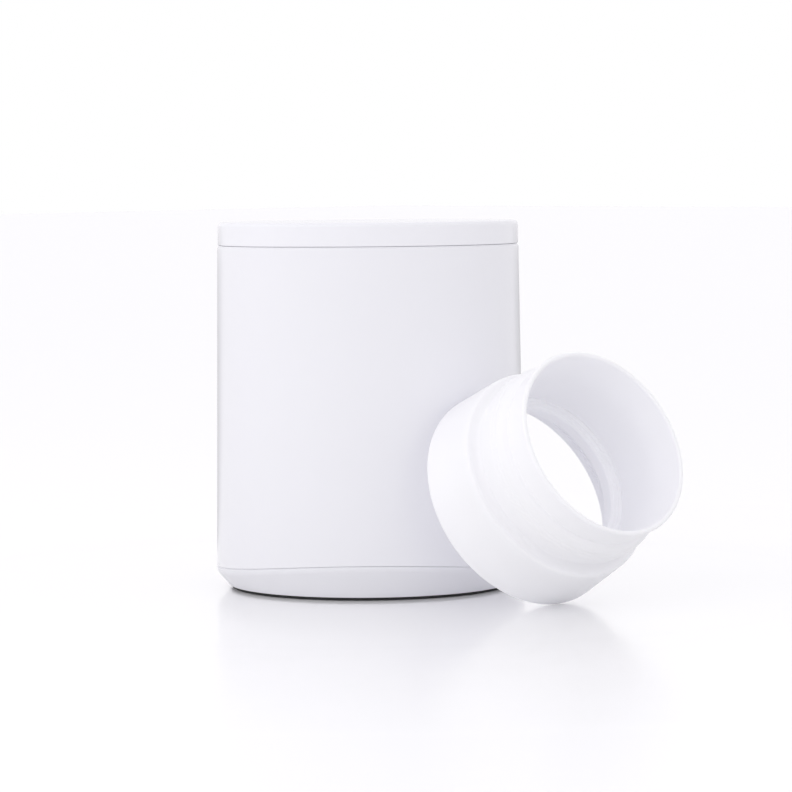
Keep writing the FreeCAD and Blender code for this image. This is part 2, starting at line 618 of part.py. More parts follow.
def chamber_holder():
    """Liner that carries the cup by its flange, with the pad for the button's board."""
    pieces = [
        ring(LINER_INNER, LINER_OUTER, HOLDER_BOTTOM, HOLDER_TOP),
        disc(LINER_INNER, HOLDER_BOTTOM, HOLDER_FLOOR),
        ring(LINER_OUTER, FLANGE_OUTER, HOLDER_FLANGE_UNDER, HOLDER_TOP),
    ]
    pad_height = KEY_BOARD_HALF_HEIGHT + KEY_PAD_MARGIN
    pad_range = around(BUTTON_HEIGHT, pad_height)
    pad = block(around(0, PAD_HALF_WIDTH), (0, PAD_FACE), pad_range)
    pieces.append(pad.cut(disc(LINER_INNER, *pad_range)))
    hole = HOLDER_SCREW["shank"] + HOLE_CLEAR
    tools = [
        disc(hole, HOLDER_FLANGE_UNDER - THROUGH, HOLDER_TOP + THROUGH, x, y)
        for x, y in HOLDER_SCREW_PLACES
    ]
    tools.append(disc(LEAD_HOLE_RADIUS, HOLDER_BOTTOM - THROUGH, HOLDER_FLOOR + THROUGH))
    tools.append(fuse_slot(HOLDER_BOTTOM, HOLDER_FLOOR))
    tools.append(tail_form(HOLE_CLEAR, HOLDER_BOTTOM - THROUGH, HOLDER_FLOOR + THROUGH))
    for x, z in KEY_SCREW_PLACES:
        tools.append(pilot(KEY_SCREW, Vector(x, PAD_FACE, z), -Y_AXIS))
    return joined(pieces).cut(tools)


def fuse_slot(low, high):
    """Tool for the slot that takes the thermal fuse and its leads between two heights."""
    half_length = FUSE_LEAD_SPAN / 2 + FUSE_LEAD_RADIUS + FUSE_SLOT_CLEAR
    half_width = FUSE_RADIUS + FUSE_SLOT_CLEAR
    heights = (low - THROUGH, high + THROUGH)
    return block(around(0, half_length), around(FUSE_Y, half_width), heights)


def holder_screws():
    """Four screws that hang the chamber holder from the deck's bosses."""
    return Part.makeCompound([
        screw(HOLDER_SCREW, Vector(x, y, HOLDER_FLANGE_UNDER), HOLDER_FLANGE, Z_AXIS)
        for x, y in HOLDER_SCREW_PLACES
    ])


def heater_film():
    """Polyimide film heater round the cup, with the flat tail that runs down to the main board."""
    wrap = ring(FILM_INNER, FILM_OUTER, FILM_BOTTOM, HOLDER_TOP - FILM_TOP_GAP)
    low = BOARD_TOP + PLUG_BLOCK_HEIGHT - PLUG_BLOCK_ENTRY
    return joined([wrap, tail_form(0, low, FILM_BOTTOM)])


def tail_form(clearance, low, high):
    """Stretch of the heater's tail, curved as the film is, larger by a clearance on every side."""
    band = ring(FILM_INNER - clearance, FILM_INNER + TAIL_THICKNESS + clearance, low, high)
    return band.common(block((-FAR, 0), around(0, TAIL_WIDTH / 2 + clearance), (low, high)))


def insulation_sleeve():
    """Foam sleeve between the heater and the liner."""
    return ring(SLEEVE_INNER, SLEEVE_OUTER, HOLDER_FLOOR, HOLDER_TOP - SLEEVE_TOP_GAP)


def insulation_disc():
    """Foam disc under the cup, with pockets for the sensor and the fuse."""
    top = HOLDER_FLOOR + FLOOR_FOAM
    foam = disc(SLEEVE_INNER - FILM - FLOOR_FOAM_EDGE, HOLDER_FLOOR, top)
    pocket = disc(SENSOR_RADIUS + SENSOR_HOLE_CLEAR, HOLDER_FLOOR - THROUGH, top + THROUGH)
    return foam.cut([pocket, fuse_slot(HOLDER_FLOOR, top)])


def temperature_sensor():
    """Sensor button against the cup's floor, with two leads straight down to the main board."""
    top = CUP_BOTTOM - CONTACT_GAP
    button = disc(SENSOR_RADIUS, top - SENSOR_HEIGHT, top)
    leads = [
        disc(SENSOR_LEAD_RADIUS, BOARD_TOP, top - SENSOR_HEIGHT / 2, x)
        for x in around(0, SENSOR_LEAD_PITCH / 2)
    ]
    return joined([button] + leads)


def thermal_fuse():
    """Cut-out fuse against the cup's floor, with its leads bent down to the main board."""
    z = CUP_BOTTOM - CONTACT_GAP - FUSE_RADIUS
    reach = FUSE_LEAD_SPAN / 2
    pieces = [
        rod(FUSE_RADIUS, Vector(-FUSE_LENGTH / 2, FUSE_Y, z), Vector(FUSE_LENGTH / 2, FUSE_Y, z)),
        rod(FUSE_LEAD_RADIUS, Vector(-reach, FUSE_Y, z), Vector(reach, FUSE_Y, z)),
    ]
    for x in around(0, reach):
        pieces.append(Part.makeSphere(FUSE_LEAD_RADIUS, Vector(x, FUSE_Y, z)))
        pieces.append(disc(FUSE_LEAD_RADIUS, BOARD_TOP, z, x, FUSE_Y))
    return joined(pieces)


# ---- Battery pack --------------------------------------------------------------------------------
def cell_tools(clearance):
    """Cylinders that are larger than the two cells and their tabs by a clearance."""
    reach = CELL_HALF + TAB_THICKNESS + clearance
    return [
        rod(CELL_RADIUS + clearance, Vector(-reach, y, CELL_AXIS), Vector(reach, y, CELL_AXIS))
        for y in (CELL_Y, -CELL_Y)
    ]


def battery_cell(y):
    """Lithium cell along X, with its crimp and its plus cap at the +X end."""
    minus_end = Vector(-CELL_HALF, y, CELL_AXIS)
    can_end = Vector(CELL_HALF - CELL_CAP_HEIGHT, y, CELL_AXIS)
    plus_end = Vector(CELL_HALF, y, CELL_AXIS)
    can = rod(CELL_RADIUS, minus_end, can_end)
    crimp_end = can_end - X_AXIS * CELL_CRIMP_FROM_END
    crimp = rod(CELL_RADIUS + THROUGH, crimp_end - X_AXIS * CELL_CRIMP_WIDTH, crimp_end)
    core = rod(CELL_RADIUS - CELL_CRIMP, minus_end, can_end)
    return joined([can.cut(crimp.cut(core)), rod(CELL_CAP_RADIUS, can_end, plus_end)])


def battery_tabs():
    """Nickel strips across the cells' ends, each with a tongue up to the main board."""
    tabs = []
    for side in (1, -1):
        near, far = sorted((side * CELL_HALF, side * (CELL_HALF + TAB_THICKNESS)))
        across = around(0, CELL_Y + CELL_CAP_RADIUS)
        bar = block((near, far), across, around(CELL_AXIS, TAB_HEIGHT / 2))
        tongue = block((near, far), around(0, TAB_WIDTH / 2), (CELL_AXIS, BOARD_UNDER))
        tabs.append(joined([bar, tongue]))
    return Part.makeCompound(tabs)


def battery_tray():
    """Tray that stands on the base's pegs and carries the cells in two saddles."""
    wide_end = CELL_HALF - TRAY_END_STEP
    pieces = [
        block(around(0, wide_end), around(0, TRAY_HALF_WIDTH), (TRAY_BOTTOM, TRAY_TOP)),
        block(around(0, TRAY_REACH), around(0, TRAY_END_HALF_WIDTH), (TRAY_BOTTOM, TRAY_TOP)),
    ]
    heights = (TRAY_BOTTOM, TRAY_BOTTOM + TRAY_END_HEIGHT)
    for x in around(0, TRAY_REACH - TRAY_END / 2):
        pieces.append(block(around(x, TRAY_END / 2), around(0, TRAY_END_HALF_WIDTH), heights))
    for x in around(0, SADDLE_X):
        pieces.append(block(around(x, SADDLE_WIDTH / 2), around(0, EAR_END), (TRAY_BOTTOM, CELL_AXIS)))
    pieces += [disc(TRAY_LEG_RADIUS, FLOOR_TOP, TRAY_BOTTOM, x, y) for x, y in PEGS]
    tools = cell_tools(CELL_SEAT_FIT)
    socket_top = FLOOR_TOP + PEG_HEIGHT + BORE_END
    tools += [disc(PEG_RADIUS + THREAD_FIT, FLOOR_TOP - THROUGH, socket_top, x, y) for x, y in PEGS]
    tools += [pilot(CLAMP_SCREW, Vector(x, y, CELL_AXIS), -Z_AXIS) for x, y in EAR_SCREWS]
    return joined(pieces).cut(tools)


def battery_clamp():
    """Bridge that holds the cells down and carries the main board on four standoffs."""
    ear_top = CELL_AXIS + EAR_HEIGHT
    across = around(0, CLAMP_HALF_WIDTH)
    pieces = [block(around(0, CELL_HALF - CLAMP_INSET), across, (CLAMP_UNDER, CLAMP_TOP))]
    for x in around(0, SADDLE_X):
        along = around(x, SADDLE_WIDTH / 2)
        pieces.append(block(along, around(0, EAR_END), (CELL_AXIS, ear_top)))
        pieces.append(block(along, across, (CELL_AXIS, CLAMP_UNDER)))
    pieces += [disc(STANDOFF_RADIUS, CLAMP_TOP, BOARD_UNDER, x, y) for x, y in STANDOFFS]
    tools = cell_tools(CELL_SEAT_FIT)
    hole = CLAMP_SCREW["shank"] + HOLE_CLEAR
    tools += [disc(hole, CELL_AXIS - THROUGH, ear_top + THROUGH, x, y) for x, y in EAR_SCREWS]
    tools += [pilot(BOARD_SCREW, Vector(x, y, BOARD_UNDER), -Z_AXIS) for x, y in STANDOFFS]
    return joined(pieces).cut(tools)


def clamp_screws():
    """Four screws through the clamp's ears into the tray."""
    seat = CELL_AXIS + EAR_HEIGHT
    places = [Vector(x, y, seat) for x, y in EAR_SCREWS]
    return Part.makeCompound([screw(CLAMP_SCREW, place, EAR_HEIGHT, -Z_AXIS) for place in places])


# ---- Main board ----------------------------------------------------------------------------------
def main_board():
    """Round circuit board over the battery pack."""
    hole = BOARD_SCREW["shank"] + HOLE_CLEAR
    holes = [disc(hole, BOARD_UNDER - THROUGH, BOARD_TOP + THROUGH, x, y) for x, y in STANDOFFS]
    return disc(BOARD_RADIUS, BOARD_UNDER, BOARD_TOP).cut(holes)


def board_screws():
    """Four screws that hold the main board on the clamp's standoffs."""
    places = [Vector(x, y, BOARD_TOP) for x, y in STANDOFFS]
    return Part.makeCompound([screw(BOARD_SCREW, place, BOARD, -Z_AXIS) for place in places])


def port_form(offset, start, end):
    """Rounded bar along Y that follows the port's outside, larger by an offset on every side."""
    across = around(0, PORT_WIDTH / 2 + offset)
    bar = block(across, (start, end), around(PORT_MIDDLE, PORT_HEIGHT / 2 + offset))
    return bar.makeFillet(PORT_ROUND + offset, [e for e in bar.Edges if runs_along_y(e)])


def runs_along_y(edge):
    """Whether an edge is straight and parallel to the Y axis."""
    box = edge.BoundBox
    return box.XLength < SAME and box.ZLength < SAME


def port_shell():
    """Metal shell of the charging port."""
    bore = port_form(-PORT_WALL, PORT_BACK - THROUGH, PORT_FACE + THROUGH)
    return port_form(0, PORT_BACK, PORT_FACE).cut(bore)


def port_core():
    """Insulating core of the charging port, with the contact tongue."""
    back = port_form(-PORT_WALL, PORT_BACK, PORT_BACK + PORT_CORE_BACK)
    along = (PORT_BACK, PORT_FACE - PORT_CORE_RECESS)
    thickness = around(PORT_MIDDLE, PORT_CORE_HEIGHT / 2)
    return joined([back, block(around(0, PORT_CORE_WIDTH / 2), along, thickness)])


def power_inductor():
    """Choke of the charging circuit."""
    x_range = around(COIL_X, COIL_SIZE / 2)
    y_range = around(COIL_Y, COIL_SIZE / 2)
    body = block(x_range, y_range, (BOARD_TOP, BOARD_TOP + COIL_HEIGHT))
    upright = [e for e in body.Edges if e.BoundBox.ZLength > COIL_HEIGHT / 2]
    return body.makeFillet(COIL_ROUND, upright)


def capacitors():
    """Two can capacitors."""
    top = BOARD_TOP + CAN_HEIGHT
    places = (CAN_Y, CAN_Y + CAN_PITCH)
    return Part.makeCompound([disc(CAN_RADIUS, BOARD_TOP, top, CAN_X, y) for y in places])


def control_chips():
    """Charger, controller and heater driver."""
    half = CHIP_SIZE / 2
    heights = (BOARD_TOP, BOARD_TOP + CHIP_HEIGHT)
    return Part.makeCompound([block(around(x, half), around(y, half), heights) for x, y in CHIP_PLACES])


def heater_connector():
    """Socket on the main board that takes the heater's tail."""
    top = BOARD_TOP + PLUG_BLOCK_HEIGHT
    along = around(-FILM_INNER, PLUG_BLOCK_DEPTH / 2)
    body = block(along, around(0, PLUG_BLOCK_WIDTH / 2), (BOARD_TOP, top))
    return body.cut(tail_form(PLUG_BLOCK_CLEAR, top - PLUG_BLOCK_ENTRY, top + THROUGH))


# ---- Power button --------------------------------------------------------------------------------
def button_board():
    """Small upright board behind the button, screwed to the holder's pad."""
    plate = block(around(0, KEY_BOARD_HALF_WIDTH), (PAD_FACE, KEY_BOARD_FACE),
                  around(BUTTON_HEIGHT, KEY_BOARD_HALF_HEIGHT))
    holes = [
        rod(KEY_SCREW["shank"] + HOLE_CLEAR, Vector(x, PAD_FACE - THROUGH, z),
            Vector(x, KEY_BOARD_FACE + THROUGH, z))
        for x, z in KEY_SCREW_PLACES
    ]
    return plate.cut(holes)


def button_board_screws():
    """Two screws that hold the button's board."""
    places = [Vector(x, KEY_BOARD_FACE, z) for x, z in KEY_SCREW_PLACES]
    return Part.makeCompound([screw(KEY_SCREW, place, KEY_BOARD, -Y_AXIS) for place in places])


def tact_switch():
    """Body of the switch under the button."""
    body = block(around(0, SWITCH_SIZE / 2), (KEY_BOARD_FACE, SWITCH_FACE),
                 around(BUTTON_HEIGHT, SWITCH_SIZE / 2))
    bottom = Vector(0, SWITCH_FACE - SWITCH_CAVITY, BUTTON_HEIGHT)
    mouth = Vector(0, SWITCH_FACE + THROUGH, BUTTON_HEIGHT)
    return body.cut(rod(PLUNGER_RADIUS + PLUNGER_FIT, bottom, mouth))


def switch_plunger():
    """Plunger of the switch, which the button pushes."""
    return rod(PLUNGER_RADIUS, Vector(0, SWITCH_FACE - PLUNGER_ENTRY, BUTTON_HEIGHT),
               Vector(0, BUTTON_BACK, BUTTON_HEIGHT))


def power_button():
    """Button cap with the flange that keeps it in the shell."""
    back = Vector(0, BUTTON_BACK, BUTTON_HEIGHT)
    shoulder = Vector(0, BUTTON_SHOULDER, BUTTON_HEIGHT)
    flange = rod(BUTTON_RADIUS + BUTTON_FLANGE_WIDTH, back, shoulder)
    barrel = rod(BUTTON_RADIUS, back, Vector(0, BUTTON_FACE, BUTTON_HEIGHT))
    rim = [e for e in barrel.Edges if e.BoundBox.YMin > BUTTON_FACE - SAME]
    return joined([flange, barrel.makeFillet(BUTTON_ROUND, rim)])


def status_led():
    """Indicator lamp on the button's board."""
    return block(around(0, LED_SIZE / 2), (KEY_BOARD_FACE, KEY_BOARD_FACE + LED_HEIGHT),
                 around(LED_Z, LED_SIZE / 2))


def light_pipe():
    """Clear rod that brings the indicator's light to the outside of the shell."""
    start = KEY_BOARD_FACE + LED_HEIGHT + PIPE_GAP
    pipe = rod(PIPE_RADIUS, Vector(0, start, LED_Z), Vector(0, FAR, LED_Z))
    return pipe.common(drafted(FOOT_LIFT, BODY_TOP))


def flex_connector():
    """Socket on the main board for the button's flat cable."""
    far = PAD_FACE - FLEX_THICKNESS - THROUGH
    return block(around(FLEX_X, FLEX_BLOCK_WIDTH / 2), (far - FLEX_BLOCK_DEPTH, far),
                 (BOARD_TOP, BOARD_TOP + FLEX_BLOCK_HEIGHT))


def button_flex():
    """Flat cable from the button's board down the holder's outside and into its socket."""
    x_range = around(FLEX_X, FLEX_WIDTH / 2)
    far = PAD_FACE - FLEX_THICKNESS - THROUGH
    level = BOARD_TOP + FLEX_BLOCK_HEIGHT / 2
    bottom = BUTTON_HEIGHT - KEY_BOARD_HALF_HEIGHT
    drop = block(x_range, (KEY_BOARD_FACE - FLEX_THICKNESS, KEY_BOARD_FACE), (level, bottom))
    foot = block(x_range, (far, KEY_BOARD_FACE), (level, level + FLEX_THICKNESS))
    return joined([drop, foot])


# ---- Lid -----------------------------------------------------------------------------------------
def lid_cap():
    """Round lid with a rounded top edge."""
    cap = disc(LID_RADIUS, LID_BOTTOM, LID_TOP)
    rims = {LID_TOP: LID_ROUND, LID_BOTTOM: LID_LEAST_EDGE}
    for level, radius in rims.items():
        cap = cap.makeFillet(radius, [e for e in cap.Edges if lies_level(e, level)])
    return cap.cut(disc(LID_RADIUS - LID_SKIRT, LID_BOTTOM - THROUGH, LID_UNDER))


def lies_level(edge, level):
    """Whether an edge lies in the plane at a height."""
    return max(abs(edge.BoundBox.ZMin - level), abs(edge.BoundBox.ZMax - level)) < SAME


def lid_plug():
    """Plug pressed into the lid, which reaches down into the mouth and carries the seal."""
    seal_top = LID_SEAL_BOTTOM + LID_SEAL_HEIGHT
    pieces = [
        ring(PLUG_INNER, PLUG_OUTER, PLUG_BOTTOM, BODY_TOP),
        disc(PLUG_INNER, PLUG_BOTTOM, PLUG_BOTTOM + PLUG_FLOOR),
        ring(PLUG_INNER, PLUG_RIM_OUTER, BODY_TOP, BODY_TOP + PLUG_FLANGE),
        ring(PLUG_RIM_OUTER - PLUG_RIM, PLUG_RIM_OUTER, BODY_TOP + PLUG_FLANGE, LID_UNDER),
    ]
    groove = ring(PLUG_OUTER - LID_SEAL_DEPTH, PLUG_OUTER + THROUGH, LID_SEAL_BOTTOM, seal_top)
    return joined(pieces).cut(groove)


def lid_seal():
    """Silicone ring in the plug's groove, rounded where it meets the mouth."""
    inner = PLUG_OUTER - LID_SEAL_DEPTH
    outer = MOUTH_RADIUS - LID_SEAL_FIT
    top = LID_SEAL_BOTTOM + LID_SEAL_HEIGHT
    middle = (LID_SEAL_BOTTOM + top) / 2
    return turned(
        line((inner, LID_SEAL_BOTTOM), (PLUG_OUTER, LID_SEAL_BOTTOM)),
        arc((PLUG_OUTER, LID_SEAL_BOTTOM), (outer, middle), (PLUG_OUTER, top)),
        line((PLUG_OUTER, top), (inner, top)),
        line((inner, top), (inner, LID_SEAL_BOTTOM)),
    )


def lid_insulation():
    """Foam filling of the lid."""
    return disc(PLUG_INNER - LID_FOAM_CLEAR, PLUG_BOTTOM + PLUG_FLOOR, LID_UNDER - LID_FOAM_CLEAR)


# ---- Bottle adapter ------------------------------------------------------------------------------
def shoulder_circle():
    """Middle, radius and crown of the circle that the adapter's shoulder follows, in the XZ plane."""
    start = Vector(SHOULDER_RADIUS, 0, SHOULDER_AT)
    end = Vector(NECK_RADIUS, 0, NECK_AT)
    chord = end.sub(start)
    outward = Vector(chord.z, 0, -chord.x).normalize()
    radius = (chord.Length ** 2 / 4 + SHOULDER_SAG ** 2) / (2 * SHOULDER_SAG)
    crown = (start + end) * 0.5 + outward * SHOULDER_SAG
    return crown - outward * radius, radius, crown


def shoulder_radius(height):
    """Radius of the adapter's shoulder at a height above the collar's free end."""
    centre, radius, _ = shoulder_circle()
    return centre.x + math.sqrt(radius ** 2 - (height - centre.z) ** 2)


def adapter_form():
    """Adapter as it is moulded: upright, with the collar's free end at z = 0."""
    edge_back = COLLAR_EDGE * (1 - HALF_BEND)
    edge_middle = (COLLAR_RADIUS - edge_back, edge_back)
    round_back = STEP_ROUND * (1 - HALF_BEND)
    round_start = (COLLAR_TOP, COLLAR_LENGTH - STEP_ROUND)
    round_middle = (COLLAR_TOP - round_back, COLLAR_LENGTH - round_back)
    round_end = (COLLAR_TOP - STEP_ROUND, COLLAR_LENGTH)
    hollow_back = STEP_HOLLOW * (1 - HALF_BEND)
    hollow_middle = (SHOULDER_RADIUS + hollow_back, COLLAR_LENGTH + hollow_back)
    crown = shoulder_circle()[2]
    lip = ADAPTER_LENGTH - RIM_THICKNESS / 2
    rim_inner = RIM_RADIUS - RIM_THICKNESS
    flare_middle = ((NECK_RADIUS + RIM_RADIUS) / 2 - FLARE_SAG, (NECK_AT + lip) / 2)
    throat_start = (THROAT_RADIUS, THROAT_AT)
    throat_end = (THROAT_RADIUS, THROAT_AT + THROAT_LENGTH)
    funnel_middle = ((rim_inner + THROAT_RADIUS) / 2 - FUNNEL_SAG, (lip + throat_end[1]) / 2)
    bore_end = (COLLAR_BORE, COLLAR_BORE_DEPTH)
    form = turned(
        line((COLLAR_BORE + COLLAR_BORE_BEVEL, 0), (COLLAR_RADIUS - COLLAR_EDGE, 0)),
        arc((COLLAR_RADIUS - COLLAR_EDGE, 0), edge_middle, (COLLAR_RADIUS, COLLAR_EDGE)),
        line((COLLAR_RADIUS, COLLAR_EDGE), round_start),
        arc(round_start, round_middle, round_end),
        arc(round_end, hollow_middle, (SHOULDER_RADIUS, SHOULDER_AT)),
        arc((SHOULDER_RADIUS, SHOULDER_AT), (crown.x, crown.z), (NECK_RADIUS, NECK_AT)),
        arc((NECK_RADIUS, NECK_AT), flare_middle, (RIM_RADIUS, lip)),
        arc((RIM_RADIUS, lip), (RIM_RADIUS - RIM_THICKNESS / 2, ADAPTER_LENGTH), (rim_inner, lip)),
        arc((rim_inner, lip), funnel_middle, throat_end),
        line(throat_end, throat_start),
        line(throat_start, bore_end),
        line(bore_end, (COLLAR_BORE, COLLAR_BORE_BEVEL)),
        line((COLLAR_BORE, COLLAR_BORE_BEVEL), (COLLAR_BORE + COLLAR_BORE_BEVEL, 0)),
    )
    places = [(shoulder_radius(height), height) for height in RIDGES_OUTSIDE]
    places += [(COLLAR_BORE, height) for height in RIDGES_INSIDE]
    return form.cut([Part.makeTorus(r, RIDGE_RADIUS, Z_AXIS * height) for r, height in places])


def adapter_placement():
    """Placement in which the collar's edge stands on the table and leans on the wall."""
    tilt = math.radians(ADAPTER_TILT)
    side = math.radians(ADAPTER_SIDE)
    outwards = Vector(math.cos(side), math.sin(side), 0)
    edge_radius = COLLAR_RADIUS - COLLAR_EDGE
    height = edge_radius * math.cos(tilt) + COLLAR_EDGE * (1 - math.sin(tilt))
    lie = FreeCAD.Rotation(Y_AXIS, 90 - ADAPTER_TILT)
    turn = FreeCAD.Rotation(Z_AXIS, ADAPTER_FACING).multiply(lie)
    wall = drafted(FOOT_LIFT, BODY_TOP)
    edge = Part.makeCircle(edge_radius, Vector(0, 0, COLLAR_EDGE), Z_AXIS)
    distance = FAR
    for _ in range(LEAN_STEPS):
        place = FreeCAD.Placement(outwards * distance + Z_AXIS * height, turn)
        moved = edge.copy()
        moved.Placement = place
        distance += LEAN_CLEAR + COLLAR_EDGE - moved.distToShape(wall)[0]
    return place


def bottle_adapter():
    """Adapter where it leans on the housing."""
    form = adapter_form()
    form.Placement = adapter_placement()
    return form


NODES = {
    "outer_shell": outer_shell,
    "base_cup": base_cup,
    "foot_ring": foot_ring,
    "base_screws": base_screws,
    "mouth_ring": mouth_ring,
    "mouth_seal": mouth_seal,
    "chamber_cup": chamber_cup,
    "chamber_holder": chamber_holder,
    "holder_screws": holder_screws,
    "heater_film": heater_film,
    "insulation_sleeve": insulation_sleeve,
    "insulation_disc": insulation_disc,
    "temperature_sensor": temperature_sensor,
    "thermal_fuse": thermal_fuse,
    "battery_cell_front": lambda: battery_cell(-CELL_Y),
    "battery_cell_back": lambda: battery_cell(CELL_Y),
    "battery_tabs": battery_tabs,
    "battery_tray": battery_tray,
    "battery_clamp": battery_clamp,
    "clamp_screws": clamp_screws,
    "main_board": main_board,
    "board_screws": board_screws,
    "port_shell": port_shell,
    "port_core": port_core,
    "power_inductor": power_inductor,
    "capacitors": capacitors,
    "control_chips": control_chips,
    "heater_connector": heater_connector,
    "flex_connector": flex_connector,
    "button_flex": button_flex,
    "button_board": button_board,
    "button_board_screws": button_board_screws,
    "tact_switch": tact_switch,
    "switch_plunger": switch_plunger,
    "power_button": power_button,
    "status_led": status_led,
    "light_pipe": light_pipe,
    "lid_cap": lid_cap,
    "lid_plug": lid_plug,
    "lid_seal": lid_seal,
    "lid_insulation": lid_insulation,
    "bottle_adapter": bottle_adapter,
}


def main():
    """Write one STEP file for each node."""
    os.makedirs("parts", exist_ok=True)
    for name, build in NODES.items():
        build().exportStep(os.path.join("parts", name + ".step"))


main()
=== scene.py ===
"""Portable bottle warmer: the visible pieces, their finishes and the studio, over the fixed frame.

The housing stands on the origin with its axis along Z.  Its front looks along -Y, and the power
button and the charging port are at the back.  Sizes in the classes are millimetres, except where
their description says metres.
"""

import logging
import math
from collections.abc import Callable, Iterable, Sequence
from dataclasses import dataclass, field
from enum import Enum

import bpy
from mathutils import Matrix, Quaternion, Vector


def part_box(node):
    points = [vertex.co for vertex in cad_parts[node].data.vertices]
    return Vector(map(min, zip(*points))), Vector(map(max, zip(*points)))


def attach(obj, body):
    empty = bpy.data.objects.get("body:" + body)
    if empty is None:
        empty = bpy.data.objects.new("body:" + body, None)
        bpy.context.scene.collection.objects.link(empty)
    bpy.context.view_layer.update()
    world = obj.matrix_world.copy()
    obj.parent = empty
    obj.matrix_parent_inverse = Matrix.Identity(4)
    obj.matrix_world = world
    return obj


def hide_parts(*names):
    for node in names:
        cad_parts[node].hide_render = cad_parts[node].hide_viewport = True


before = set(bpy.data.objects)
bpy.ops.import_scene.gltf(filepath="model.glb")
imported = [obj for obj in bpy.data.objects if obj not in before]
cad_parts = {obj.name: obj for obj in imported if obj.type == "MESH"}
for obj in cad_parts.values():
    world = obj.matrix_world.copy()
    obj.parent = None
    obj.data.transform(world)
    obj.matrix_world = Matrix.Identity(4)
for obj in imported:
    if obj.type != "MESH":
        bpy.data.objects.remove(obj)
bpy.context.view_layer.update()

Pair = tuple[float, float]
Triple = tuple[float, float, float]
Piece = bpy.types.Object
Socket = bpy.types.NodeSocket

LOG = logging.getLogger("bottle_warmer")
MM = 0.001
SAME = 1e-6  # metres, below which two places are one
NEAR = 0.002  # millimetres, within which a place is on a ring
QUADRANTS = ((1, 1), (1, -1), (-1, 1), (-1, -1))


def linear(channel: float) -> float:
    """Return a display value from 0 to 255 as linear light, by the sRGB curve."""
    share = channel / 255
    return share / 12.92 if share <= 0.04045 else ((share + 0.055) / 1.055) ** 2.4


def rgba(colour: Triple) -> tuple[float, float, float, float]:
    """Return a display colour from 0 to 255 as linear red, green, blue and alpha."""
    return (*(linear(channel) for channel in colour), 1.0)


def node_box(node: str) -> tuple[Vector, Vector]:
    """Return the lowest and highest corner of a frame node, in millimetres."""
    low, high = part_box(node)
    return low / MM, high / MM


# ---- Finishes ------------------------------------------------------------------------------------
NOISE_REACH = (0.1, 0.9)
TRACK_EDGE = (0.55, 0.62)
CELL_EDGE = (0.2, 0.8)
LINES_ROUND_AXIS = (0.03, 0.03, 1.0)
BAND_SCALE = 6
COAT_ROUGHNESS = 0.08


class Grain(Enum):
    """How a surface is broken up at close range."""

    MOULDED = "faint orange peel of a polished mould"
    SPARKED = "fine even texture of a spark-eroded mould"
    BRUSHED = "fine lines round the axis"
    FOAMED = "closed cells"
    TRACKED = "printed tracks"
    WOUND = "parallel tracks under a film"


